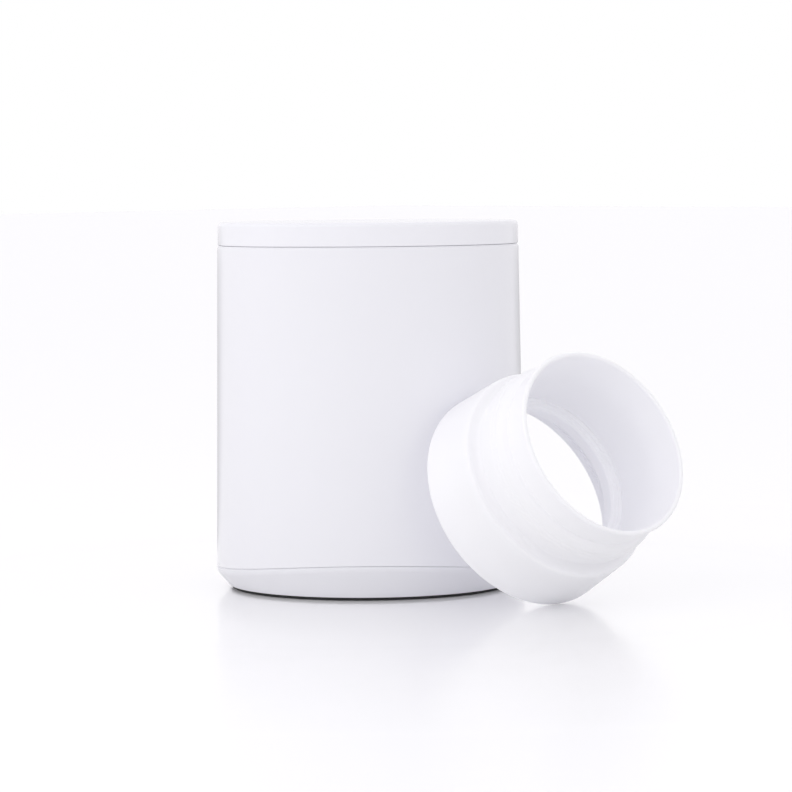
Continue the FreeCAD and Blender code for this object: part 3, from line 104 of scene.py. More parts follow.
@dataclass(frozen=True)
class Finish:
    """Surface of one material.

    Attributes:
        name: Name of the material.
        colour: Display colour, 0 to 255.
        patch: Share by which the colour drifts from place to place.
        roughness: Mean roughness.
        spread: Swing of the roughness about its mean.
        grain: Kind of fine relief.
        pitch: Distance between the relief's features.
        relief: Height of the relief.
        accent: Second colour, of tracks and cells.
        metallic: 1 for bare metal.
        coat: Weight of a clear top layer.
        subsurface: Weight of light that wanders inside.
        depth: How far that light wanders.
        transmission: Weight of light that passes straight through.
        specular: Level of the surface's own reflection.
        drift_pitch: Size of the patches of colour.
        wear_pitch: Size of the patches of roughness.
    """

    name: str
    colour: Triple
    patch: float = 0.015
    roughness: float = 0.4
    spread: float = 0.04
    grain: Grain = Grain.MOULDED
    pitch: float = 2.0
    relief: float = 0.01
    accent: Triple = (255, 255, 255)
    metallic: float = 0.0
    coat: float = 0.0
    subsurface: float = 0.0
    depth: float = 1.0
    transmission: float = 0.0
    specular: float = 0.5
    drift_pitch: float = 30.0
    wear_pitch: float = 12.0

    def material(self) -> bpy.types.Material:
        """Return the finish as a material, built on first use."""
        made = bpy.data.materials.get(self.name)
        return made if made else self._build()

    def _build(self) -> bpy.types.Material:
        """Build the node tree.

        Returns:
            The new material.
        """
        made = bpy.data.materials.new(self.name)
        made.use_nodes = True
        sheet = Sheet(made.node_tree)
        surface = sheet.tree.nodes["Principled BSDF"]
        place = sheet.place()
        drift = sheet.noise(place, 1 / (self.drift_pitch * MM), detail=2)
        sheet.join(self._tone(sheet, place, drift), surface.inputs["Base Color"])
        wear = sheet.noise(place, 1 / (self.wear_pitch * MM), detail=3)
        swing = (self.roughness - self.spread, self.roughness + self.spread)
        sheet.join(sheet.ramp(wear, NOISE_REACH, swing), surface.inputs["Roughness"])
        relief = sheet.bump(self._relief(sheet, place), self.relief * MM)
        sheet.join(relief, surface.inputs["Normal"])
        surface.inputs["Metallic"].default_value = self.metallic
        surface.inputs["Coat Weight"].default_value = self.coat
        surface.inputs["Coat Roughness"].default_value = COAT_ROUGHNESS
        surface.inputs["Subsurface Weight"].default_value = self.subsurface
        surface.inputs["Subsurface Radius"].default_value = (1.0, 1.0, 1.0)
        surface.inputs["Subsurface Scale"].default_value = self.depth * MM
        surface.inputs["Transmission Weight"].default_value = self.transmission
        surface.inputs["Specular IOR Level"].default_value = self.specular
        return made

    def _tone(self, sheet: "Sheet", place: Socket, drift: Socket) -> Socket:
        """Mix the surface's colour.

        Args:
            sheet: The tree to write in.
            place: The coordinates.
            drift: Noise that the colour drifts with.

        Returns:
            The colour's socket.
        """
        base = rgba(self.colour)
        worn = tuple(channel * (1 - self.patch) for channel in base[:3]) + (1.0,)
        tone = sheet.mix(drift, worn, base)
        if self.grain in (Grain.TRACKED, Grain.WOUND):
            mask = sheet.ramp(self._relief(sheet, place), TRACK_EDGE)
            tone = sheet.mix(mask, tone, rgba(self.accent))
        if self.grain is Grain.FOAMED:
            mask = sheet.ramp(self._relief(sheet, place), CELL_EDGE)
            tone = sheet.mix(mask, rgba(self.accent), tone)
        return tone

    def _relief(self, sheet: "Sheet", place: Socket) -> Socket:
        """Draw the fine relief.

        Args:
            sheet: The tree to write in.
            place: The coordinates.

        Returns:
            The socket of the relief's height, from 0 to 1.
        """
        scale = 1 / (self.pitch * MM)
        if self.grain is Grain.BRUSHED:
            return sheet.noise(sheet.stretch(place, LINES_ROUND_AXIS), scale, detail=6)
        if self.grain is Grain.FOAMED:
            return sheet.cells(place, scale)
        if self.grain is Grain.TRACKED:
            return sheet.bands(place, scale / BAND_SCALE, distortion=9.0)
        if self.grain is Grain.WOUND:
            return sheet.bands(place, scale / BAND_SCALE, distortion=0.0)
        return sheet.noise(place, scale, detail=5 if self.grain is Grain.SPARKED else 1)


@dataclass
class Sheet:
    """Shader tree with the few nodes that the finishes are built from.

    Attributes:
        tree: The node tree to write in.
    """

    tree: bpy.types.NodeTree

    def node(self, kind: str) -> bpy.types.Node:
        """Return a new node of a kind."""
        return self.tree.nodes.new(kind)

    def join(self, source: object, target: Socket) -> None:
        """Link a socket to an input, or set the input to a plain value.

        Args:
            source: A socket, a number or a colour.
            target: The input that takes it.
        """
        if isinstance(source, Socket):
            self.tree.links.new(source, target)
        else:
            target.default_value = source

    def place(self) -> Socket:
        """Return the object coordinates."""
        return self.node("ShaderNodeTexCoord").outputs["Object"]

    def stretch(self, place: Socket, scale: Triple) -> Socket:
        """Scale coordinates along each axis.

        Args:
            place: The coordinates.
            scale: Factor along each axis.

        Returns:
            The scaled coordinates' socket.
        """
        mapping = self.node("ShaderNodeMapping")
        mapping.inputs["Scale"].default_value = scale
        self.join(place, mapping.inputs["Vector"])
        return mapping.outputs["Vector"]

    def texture(self, kind: str, place: Socket, scale: float) -> bpy.types.Node:
        """Add a texture.

        Args:
            kind: The node's type.
            place: The coordinates.
            scale: Features in a metre.

        Returns:
            The texture's node.
        """
        texture = self.node(kind)
        texture.inputs["Scale"].default_value = scale
        self.join(place, texture.inputs["Vector"])
        return texture

    def noise(self, place: Socket, scale: float, detail: float) -> Socket:
        """Draw cloudy noise.

        Args:
            place: The coordinates.
            scale: Features in a metre.
            detail: How many finer layers it has.

        Returns:
            The noise's socket.
        """
        texture = self.texture("ShaderNodeTexNoise", place, scale)
        texture.inputs["Detail"].default_value = detail
        return texture.outputs["Fac"]

    def cells(self, place: Socket, scale: float) -> Socket:
        """Return the distance from the middle of the nearest cell."""
        return self.texture("ShaderNodeTexVoronoi", place, scale).outputs["Distance"]

    def bands(self, place: Socket, scale: float, distortion: float) -> Socket:
        """Draw bands along Z, or wandering ones where they have a distortion.

        Args:
            place: The coordinates.
            scale: Features in a metre.
            distortion: How far the bands wander.

        Returns:
            The bands' socket.
        """
        texture = self.texture("ShaderNodeTexWave", place, scale)
        texture.bands_direction = "Z" if distortion == 0 else "DIAGONAL"
        texture.inputs["Distortion"].default_value = distortion
        return texture.outputs["Fac"]

    def ramp(
        self,
        source: Socket,
        reach: Pair = (0.0, 1.0),
        values: Pair = (0.0, 1.0),
    ) -> Socket:
        """Map a value from one range to another, and hold it at the ends.

        Args:
            source: The value's socket.
            reach: Range that it is mapped from.
            values: Range that it is mapped to.

        Returns:
            The mapped value's socket.
        """
        ramp = self.node("ShaderNodeMapRange")
        ramp.inputs["From Min"].default_value, ramp.inputs["From Max"].default_value = reach
        ramp.inputs["To Min"].default_value, ramp.inputs["To Max"].default_value = values
        self.join(source, ramp.inputs["Value"])
        return ramp.outputs["Result"]

    def outward(self, place: Socket) -> Socket:
        """Return the distance from the origin of the coordinates.

        Args:
            place: The coordinates.

        Returns:
            The distance's socket.
        """
        length = self.node("ShaderNodeVectorMath")
        length.operation = "LENGTH"
        self.join(place, length.inputs[0])
        return length.outputs["Value"]

    def mix(self, share: object, first: object, second: object) -> Socket:
        """Mix two colours.

        Args:
            share: How much of the second colour shows.
            first: Colour at share 0.
            second: Colour at share 1.

        Returns:
            The mixed colour's socket.
        """
        blend = self.node("ShaderNodeMix")
        blend.data_type = "RGBA"
        self.join(share, blend.inputs["Factor"])
        self.join(first, blend.inputs["A"])
        self.join(second, blend.inputs["B"])
        return blend.outputs["Result"]

    def clear_from_below(self, surface: Socket, output: Socket) -> None:
        """Show a surface from the side that its faces look to, and nothing from the other.

        Args:
            surface: The surface's shader.
            output: The material's output.
        """
        clear = self.node("ShaderNodeBsdfTransparent")
        face = self.node("ShaderNodeNewGeometry")
        blend = self.node("ShaderNodeMixShader")
        self.join(face.outputs["Backfacing"], blend.inputs["Fac"])
        self.join(surface, blend.inputs[1])
        self.join(clear.outputs["BSDF"], blend.inputs[2])
        self.join(blend.outputs["Shader"], output)

    def bump(self, height: Socket, depth: float) -> Socket:
        """Turn a height into a relief.

        Args:
            height: The height, from 0 to 1.
            depth: The relief's depth, in metres.

        Returns:
            The socket of the relief's normal.
        """
        relief = self.node("ShaderNodeBump")
        relief.inputs["Strength"].default_value = 1.0
        relief.inputs["Distance"].default_value = depth
        self.join(height, relief.inputs["Height"])
        return relief.outputs["Normal"]


WHITE_GLOSS = Finish(
    "white_gloss_abs", (241, 241, 245), 0.01, 0.22, 0.02, pitch=4.0, relief=0.002, coat=0.15
)
LID_GLOSS = Finish(
    "lid_gloss_abs", (243, 243, 247), 0.008, 0.22, 0.02, pitch=6.0, relief=0.001, coat=0.15
)
BASE_SATIN = Finish("base_satin_abs", (237, 237, 241), 0.008, 0.3, 0.02, pitch=4.0, relief=0.002)
DECK_GLOSS = Finish("deck_gloss_abs", (236, 236, 239), 0.01, 0.25, 0.03, pitch=2.5, relief=0.004)
BUTTON_GLOSS = Finish("button_gloss_abs", (222, 222, 227), 0.02, 0.22, 0.03, pitch=1.5, relief=0.004)
MILKY_SILICONE = Finish(
    "milky_silicone", (252, 252, 255), 0.006, 0.38, 0.02, pitch=6.0, relief=0.002,
    subsurface=0.35, depth=1.5,
)
SEAL_SILICONE = Finish(
    "seal_silicone", (226, 226, 229), 0.02, 0.5, 0.05, pitch=1.2, relief=0.01, subsurface=0.3, depth=1.0
)
FOOT_RUBBER = Finish(
    "foot_rubber", (26, 26, 27), 0.1, 0.75, 0.06, Grain.SPARKED, 0.5, 0.02, specular=0.3
)
BRUSHED_STEEL = Finish(
    "brushed_steel", (190, 190, 192), 0.05, 0.3, 0.07, Grain.BRUSHED, 0.4, 0.006, metallic=1.0
)
ZINC_STEEL = Finish(
    "zinc_steel", (168, 169, 172), 0.08, 0.35, 0.08, Grain.SPARKED, 0.6, 0.005, metallic=1.0
)
PORT_STEEL = Finish(
    "port_steel", (182, 183, 186), 0.06, 0.28, 0.05, Grain.SPARKED, 0.8, 0.003, metallic=1.0
)
NICKEL = Finish(
    "nickel_strip", (194, 188, 176), 0.06, 0.35, 0.06, Grain.SPARKED, 1.0, 0.004, metallic=1.0
)
TINNED = Finish(
    "tinned_metal", (176, 176, 172), 0.06, 0.4, 0.06, Grain.SPARKED, 0.8, 0.004, metallic=1.0
)
CAN_ALUMINIUM = Finish(
    "can_aluminium", (200, 200, 202), 0.05, 0.3, 0.05, Grain.BRUSHED, 0.5, 0.003, metallic=1.0
)
CELL_SLEEVE = Finish("cell_sleeve", (70, 118, 168), 0.04, 0.32, 0.05, pitch=4.0, relief=0.01)
HOLDER_PLASTIC = Finish("holder_plastic", (205, 205, 206), 0.03, 0.5, 0.05, Grain.SPARKED, 0.7, 0.01)
FRAME_PLASTIC = Finish("frame_plastic", (62, 62, 66), 0.05, 0.55, 0.05, Grain.SPARKED, 0.7, 0.012)
BLACK_PLASTIC = Finish("black_plastic", (24, 24, 26), 0.08, 0.45, 0.05, Grain.SPARKED, 0.6, 0.008)
IVORY_PLASTIC = Finish("ivory_plastic", (232, 228, 212), 0.03, 0.45, 0.05, Grain.SPARKED, 0.6, 0.008)
DARK_EPOXY = Finish("dark_epoxy", (34, 34, 38), 0.06, 0.6, 0.06, Grain.SPARKED, 0.4, 0.01)
AMBER_FILM = Finish(
    "amber_film", (206, 128, 40), 0.04, 0.3, 0.05, Grain.WOUND, 0.4, 0.01, accent=(150, 80, 30)
)
GREEN_BOARD = Finish(
    "green_board", (20, 92, 54), 0.06, 0.4, 0.06, Grain.TRACKED, 0.5, 0.01, accent=(44, 128, 78)
)
PALE_FOAM = Finish(
    "pale_foam", (240, 240, 234), 0.03, 0.9, 0.03, Grain.FOAMED, 0.8, 0.08, accent=(222, 222, 214)
)
CLEAR_MOULDING = Finish(
    "clear_moulding", (244, 248, 250), 0.01, 0.12, 0.02, pitch=1.0, relief=0.002, transmission=0.7
)


# ---- Bench ---------------------------------------------------------------------------------------
class Axis(Enum):
    """Way that a cylinder lies, with the turn that takes it there."""

    X = (0, math.pi / 2, 0)
    Y = (math.pi / 2, 0, 0)
    Z = (0, 0, 0)


@dataclass(frozen=True)
class Corner:
    """Corner of an outline in the plane through the axis.

    Attributes:
        radius: Distance from the axis.
        height: Height along the axis.
        round: Radius of the round at this corner.
    """

    radius: float
    height: float
    round: float = 0.0

    @property
    def co(self) -> Vector:
        """The corner in space, in metres."""
        return Vector((self.radius, 0, self.height)) * MM


def swept(start: Vector, end: Vector) -> float:
    """Return the angle from one flat vector to another, anticlockwise and in radians."""
    return math.atan2(start.cross(end), start.dot(end))


def bulge(start: Corner, crown: Corner, end: Corner, count: int) -> list[Corner]:
    """Draw the arc from one corner through a crown to another.

    Args:
        start: First corner, which is left out of the result.
        crown: A place that the arc passes through.
        end: Last corner, which is left out of the result.
        count: How many corners to return.

    Returns:
        The corners between start and end.
    """
    low, top, high = (Vector((corner.radius, corner.height)) for corner in (start, crown, end))
    to_top, to_high = top - low, high - low
    turn = 2 * to_top.cross(to_high)
    reach = Vector((
        to_high.y * to_top.length_squared - to_top.y * to_high.length_squared,
        to_top.x * to_high.length_squared - to_high.x * to_top.length_squared,
    )) / turn
    centre = low + reach
    first = low - centre
    sweep = swept(first, top - centre) + swept(top - centre, high - centre)
    corners = []
    for step in range(1, count + 1):
        angle = sweep * step / (count + 1)
        swung = Vector((
            first.x * math.cos(angle) - first.y * math.sin(angle),
            first.x * math.sin(angle) + first.y * math.cos(angle),
        ))
        corners.append(Corner(centre.x + swung.x, centre.y + swung.y))
    return corners


class Bench:
    """Modelling steps that the sub-assemblies share.

    Attributes:
        WIDE_ROUND: Radius past which a round gets more segments.
    """

    WIDE_ROUND = 0.9

    @staticmethod
    def alone(piece: Piece) -> None:
        """Make a piece the only selected and active object.

        Args:
            piece: The object.
        """
        bpy.ops.object.select_all(action="DESELECT")
        piece.select_set(True)
        bpy.context.view_layer.objects.active = piece

    @staticmethod
    def added(name: str) -> Piece:
        """Name the object that the last primitive made.

        Args:
            name: Its new name.

        Returns:
            The object.
        """
        piece = bpy.context.active_object
        piece.name = name
        piece.data.name = name
        return piece

    @classmethod
    def pick(
        cls,
        piece: Piece,
        mode: str,
        wanted: Callable[[Vector], bool],
    ) -> None:
        """Enter edit mode with the wanted elements selected and nothing else.

        Args:
            piece: The object to edit.
            mode: VERT or EDGE.
            wanted: Test of a place, in millimetres, which both ends of an edge have to pass.
        """
        cls.alone(piece)
        bpy.ops.object.mode_set(mode="EDIT")
        bpy.ops.mesh.select_mode(type=mode)
        bpy.ops.mesh.select_all(action="DESELECT")
        bpy.ops.object.mode_set(mode="OBJECT")
        mesh = piece.data
        if mode == "VERT":
            for vertex in mesh.vertices:
                vertex.select = wanted(vertex.co / MM)
        else:
            for edge in mesh.edges:
                ends = [mesh.vertices[index].co for index in edge.vertices]
                edge.select = all(wanted(end / MM) for end in ends)
        bpy.ops.object.mode_set(mode="EDIT")

    @staticmethod
    def leave() -> None:
        """Leave edit mode."""
        bpy.ops.object.mode_set(mode="OBJECT")

    @classmethod
    def turned(
        cls, name: str, corners: Sequence[Corner], steps: int = 192, closed: bool = True
    ) -> Piece:
        """Model a piece by spinning an outline round the Z axis.

        Args:
            name: Name of the piece.
            corners: The outline, in order.
            steps: Copies of the outline round the axis.
            closed: Whether the outline returns to its first corner.

        Returns:
            The piece, with closed poles and its faces outwards.
        """
        bpy.ops.object.select_all(action="DESELECT")
        bpy.ops.mesh.primitive_plane_add(size=MM, location=corners[0].co)
        piece = cls.added(name)
        bpy.ops.object.transform_apply(location=True)
        bpy.ops.object.mode_set(mode="EDIT")
        bpy.ops.mesh.select_mode(type="VERT")
        bpy.ops.mesh.select_all(action="SELECT")
        bpy.ops.mesh.merge(type="CENTER")
        ring = [*corners, corners[0]] if closed else list(corners)
        for before, after in zip(ring, ring[1:]):
            bpy.ops.mesh.extrude_region_move(TRANSFORM_OT_translate={"value": after.co - before.co})
        bpy.ops.mesh.select_all(action="SELECT")
        bpy.ops.mesh.remove_doubles(threshold=SAME)
        cls.leave()
        for index, corner in enumerate(corners):
            if corner.round > 0:
                cls._round(piece, corners[index - 1], corner, corners[(index + 1) % len(corners)])
        cls.alone(piece)
        bpy.ops.object.mode_set(mode="EDIT")
        bpy.ops.mesh.select_all(action="SELECT")
        bpy.ops.mesh.spin(steps=steps, angle=math.tau, center=(0, 0, 0), axis=(0, 0, 1))
        bpy.ops.mesh.select_all(action="SELECT")
        bpy.ops.mesh.remove_doubles(threshold=SAME)
        bpy.ops.mesh.normals_make_consistent(inside=False)
        cls.leave()
        return piece

    @classmethod
    def _round(cls, piece: Piece, before: Corner, corner: Corner, after: Corner) -> None:
        """Round one corner of an outline.

        Args:
            piece: The outline.
            before: Corner before it.
            corner: Corner to round.
            after: Corner after it.
        """
        turn = (corner.co - before.co).angle(after.co - corner.co)
        cls.pick(piece, "VERT", lambda co: (co * MM - corner.co).length < 2 * SAME)
        width = corner.round * MM * math.tan(turn / 2)
        segments = 12 if corner.round > cls.WIDE_ROUND else 4
        bpy.ops.mesh.bevel(offset=width, segments=segments, affect="VERTICES", clamp_overlap=True)
        cls.leave()

    @classmethod
    def soften(
        cls, piece: Piece, wanted: Callable[[Vector], bool], radius: float, segments: int = 3
    ) -> None:
        """Round edges of a piece.

        Args:
            piece: The object to edit.
            wanted: Test of a place, in millimetres, which both ends of an edge have to pass.
            radius: Width of the round.
            segments: How many faces it has across.
        """
        cls.pick(piece, "EDGE", wanted)
        bpy.ops.mesh.bevel(offset=radius * MM, segments=segments, affect="EDGES")
        cls.leave()

    @classmethod
    def cylinder(
        cls,
        name: str,
        size: Pair,
        middle: Sequence[float],
        axis: Axis = Axis.Z,
        sides: int = 96,
    ) -> Piece:
        """Model a cylinder.

        Args:
            name: Name of the piece.
            size: Its radius and its length, in millimetres.
            middle: Its middle, in millimetres.
            axis: Way that it lies.
            sides: How many faces go round it.

        Returns:
            The cylinder.
        """
        bpy.ops.object.select_all(action="DESELECT")
        bpy.ops.mesh.primitive_cylinder_add(
            vertices=sides,
            radius=size[0] * MM,
            depth=size[1] * MM,
            location=[share * MM for share in middle],
            rotation=axis.value,
        )
        return cls.added(name)

    @classmethod
    def block(cls, name: str, size: Sequence[float], middle: Sequence[float]) -> Piece:
        """Model a block.

        Args:
            name: Name of the piece.
            size: Its size along X, Y and Z, in millimetres.
            middle: Its middle, in millimetres.

        Returns:
            The block.
        """
        bpy.ops.object.select_all(action="DESELECT")
        bpy.ops.mesh.primitive_cube_add(size=1, location=[share * MM for share in middle])
        piece = cls.added(name)
        piece.scale = [share * MM for share in size]
        bpy.ops.object.transform_apply(location=True, scale=True)
        return piece

    @classmethod
    def rounded_bar(cls, name: str, size: Vector, middle: Vector, radius: float) -> Piece:
        """Model a bar along Y whose four long edges are rounded.

        Args:
            name: Name of the piece.
            size: Its size along X, Y and Z, in millimetres.
            middle: Its middle, in millimetres.
            radius: Radius of the long edges.

        Returns:
            The bar.
        """
        bar = cls.block(name, size, middle)
        mesh = bar.data
        bpy.ops.object.mode_set(mode="EDIT")
        bpy.ops.mesh.select_mode(type="EDGE")
        bpy.ops.mesh.select_all(action="DESELECT")
        bpy.ops.object.mode_set(mode="OBJECT")
        for edge in mesh.edges:
            start, end = (mesh.vertices[index].co for index in edge.vertices)
            edge.select = abs(start.y - end.y) > SAME
        bpy.ops.object.mode_set(mode="EDIT")
        bpy.ops.mesh.bevel(offset=radius * MM, segments=8, affect="EDGES")
        cls.leave()
        return bar

    @classmethod
    def modify(cls, piece: Piece, kind: str, **settings: object) -> None:
        """Add a modifier to a piece and apply it.

        Args:
            piece: The object to change.
            kind: The modifier's type.
            **settings: Its settings.
        """
        cls.alone(piece)
        modifier = piece.modifiers.new(kind.lower(), kind)
        for name, value in settings.items():
            setattr(modifier, name, value)
        bpy.ops.object.modifier_apply(modifier=modifier.name)

    @classmethod
    def cut(cls, piece: Piece, tools: Iterable[Piece]) -> None:
        """Cut tools out of a piece.

        Args:
            piece: The object to cut.
            tools: The tools, which are thrown away.
        """
        cls._combine(piece, tools, "DIFFERENCE")

    @classmethod
    def fuse(cls, piece: Piece, others: Iterable[Piece]) -> None:
        """Fuse other objects with a piece.

        Args:
            piece: The object that grows.
            others: The objects, which are thrown away.
        """
        cls._combine(piece, others, "UNION")

    @classmethod
    def _combine(cls, piece: Piece, tools: Iterable[Piece], operation: str) -> None:
        """Apply a Boolean with each tool, and throw the tool away.

        Args:
            piece: The object to change.
            tools: The tools.
            operation: DIFFERENCE or UNION.
        """
        for tool in tools:
            cls.modify(piece, "BOOLEAN", operation=operation, object=tool, solver="EXACT")
            bpy.data.objects.remove(tool)

    @classmethod
    def join(cls, piece: Piece, others: Iterable[Piece]) -> None:
        """Join other objects into a piece, with their faces as they are.

        Args:
            piece: The object that takes the faces.
            others: The objects, which end with it.
        """
        cls.alone(piece)
        for other in others:
            other.select_set(True)
        bpy.ops.object.join()

    @classmethod
    def shift(cls, piece: Piece, way: Vector) -> None:
        """Move a piece.

        Args:
            piece: The object.
            way: How far it moves, in millimetres.
        """
        cls.alone(piece)
        piece.location = way * MM
        bpy.ops.object.transform_apply(location=True)

    @classmethod
    def swing(cls, piece: Piece, angle: float) -> None:
        """Swing a piece round the Z axis.

        Args:
            piece: The object.
            angle: How far it swings, in radians.
        """
        cls.alone(piece)
        piece.rotation_euler = (0, 0, angle)
        bpy.ops.object.transform_apply(rotation=True)

    @classmethod
    def turn_to_back(cls, piece: Piece, height: float) -> None:
        """Turn a piece's Z axis to +Y and raise it.

        Args:
            piece: The object.
            height: Its new height, in millimetres.
        """
        cls.alone(piece)
        piece.rotation_euler = (-math.pi / 2, 0, 0)
        piece.location = (0, 0, height * MM)
        bpy.ops.object.transform_apply(location=True, rotation=True)

    @classmethod
    def finish(
        cls,
        piece: Piece,
        look: Finish,
        body: str,
        slot: str,
        nodes: Sequence[str],
        crease: float = 35.0,
    ) -> Piece:
        """Smooth, dress and mount a piece.

        Args:
            piece: The finished shape.
            look: Its finish.
            body: The body that it rides on.
            slot: Name of the record's material slot; not used.
            nodes: The frame nodes that it stands for.
            crease: Angle past which an edge stays sharp, in degrees.

        Returns:
            The piece.
        """
        cls.alone(piece)
        bpy.ops.object.shade_smooth_by_angle(angle=math.radians(crease))
        cls.modify(piece, "WEIGHTED_NORMAL", keep_sharp=True)
        piece.data.materials.clear()
        piece.data.materials.append(look.material())
        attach(piece, body)
        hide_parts(*nodes)
        LOG.info("made %s: %d faces", piece.name, len(piece.data.polygons))
        return piece


# ---- Housing -------------------------------------------------------------------------------------
SCREW_HEAD = 1.75


def boss_place() -> float:
    """Return how far the deck's screws stand from the housing's axis along X and along Y."""
    return node_box("holder_screws")[1].x - SCREW_HEAD


@dataclass
class Arch:
    """Arched seam between wall and base: a cylinder along Y, level at the front and back.

    Attributes:
        crest: Height of the seam at the front and back.
        spring: Height of the seam at the sides.
        reach: Distance from the middle to the sides.
        length: Length of the cylinder.
        sides: Faces round it.
    """

    crest: float = 9.1
    spring: float = 5.7
    reach: float = 41.1
    length: float = 200.0
    sides: int = 2048

    @property
    def radius(self) -> float:
        """Radius of the arch."""
        rise = self.crest - self.spring
        return (self.reach ** 2 + rise ** 2) / (2 * rise)

    def lift(self, piece: Piece, level: float, offset: float) -> None:
        """Lift the rings at a level up to the arch.

        Args:
            piece: The piece whose rings move.
            level: Height of the rings before.
            offset: How far outside the arch they end.
        """
        form = Bench.cylinder(
            "arch_form",
            (self.radius + offset, self.length),
            (0, 0, self.crest - self.radius),
            Axis.Y,
            self.sides,
        )
        rings = piece.vertex_groups.new(name="rings")
        chosen = [
            vertex.index for vertex in piece.data.vertices if abs(vertex.co.z - level * MM) < SAME
        ]
        rings.add(chosen, 1.0, "REPLACE")
        Bench.modify(
            piece, "SHRINKWRAP", target=form, wrap_method="PROJECT", use_project_z=True,
            use_negative_direction=False, use_positive_direction=True, vertex_group=rings.name,
        )
        piece.vertex_groups.clear()
        bpy.data.objects.remove(form)


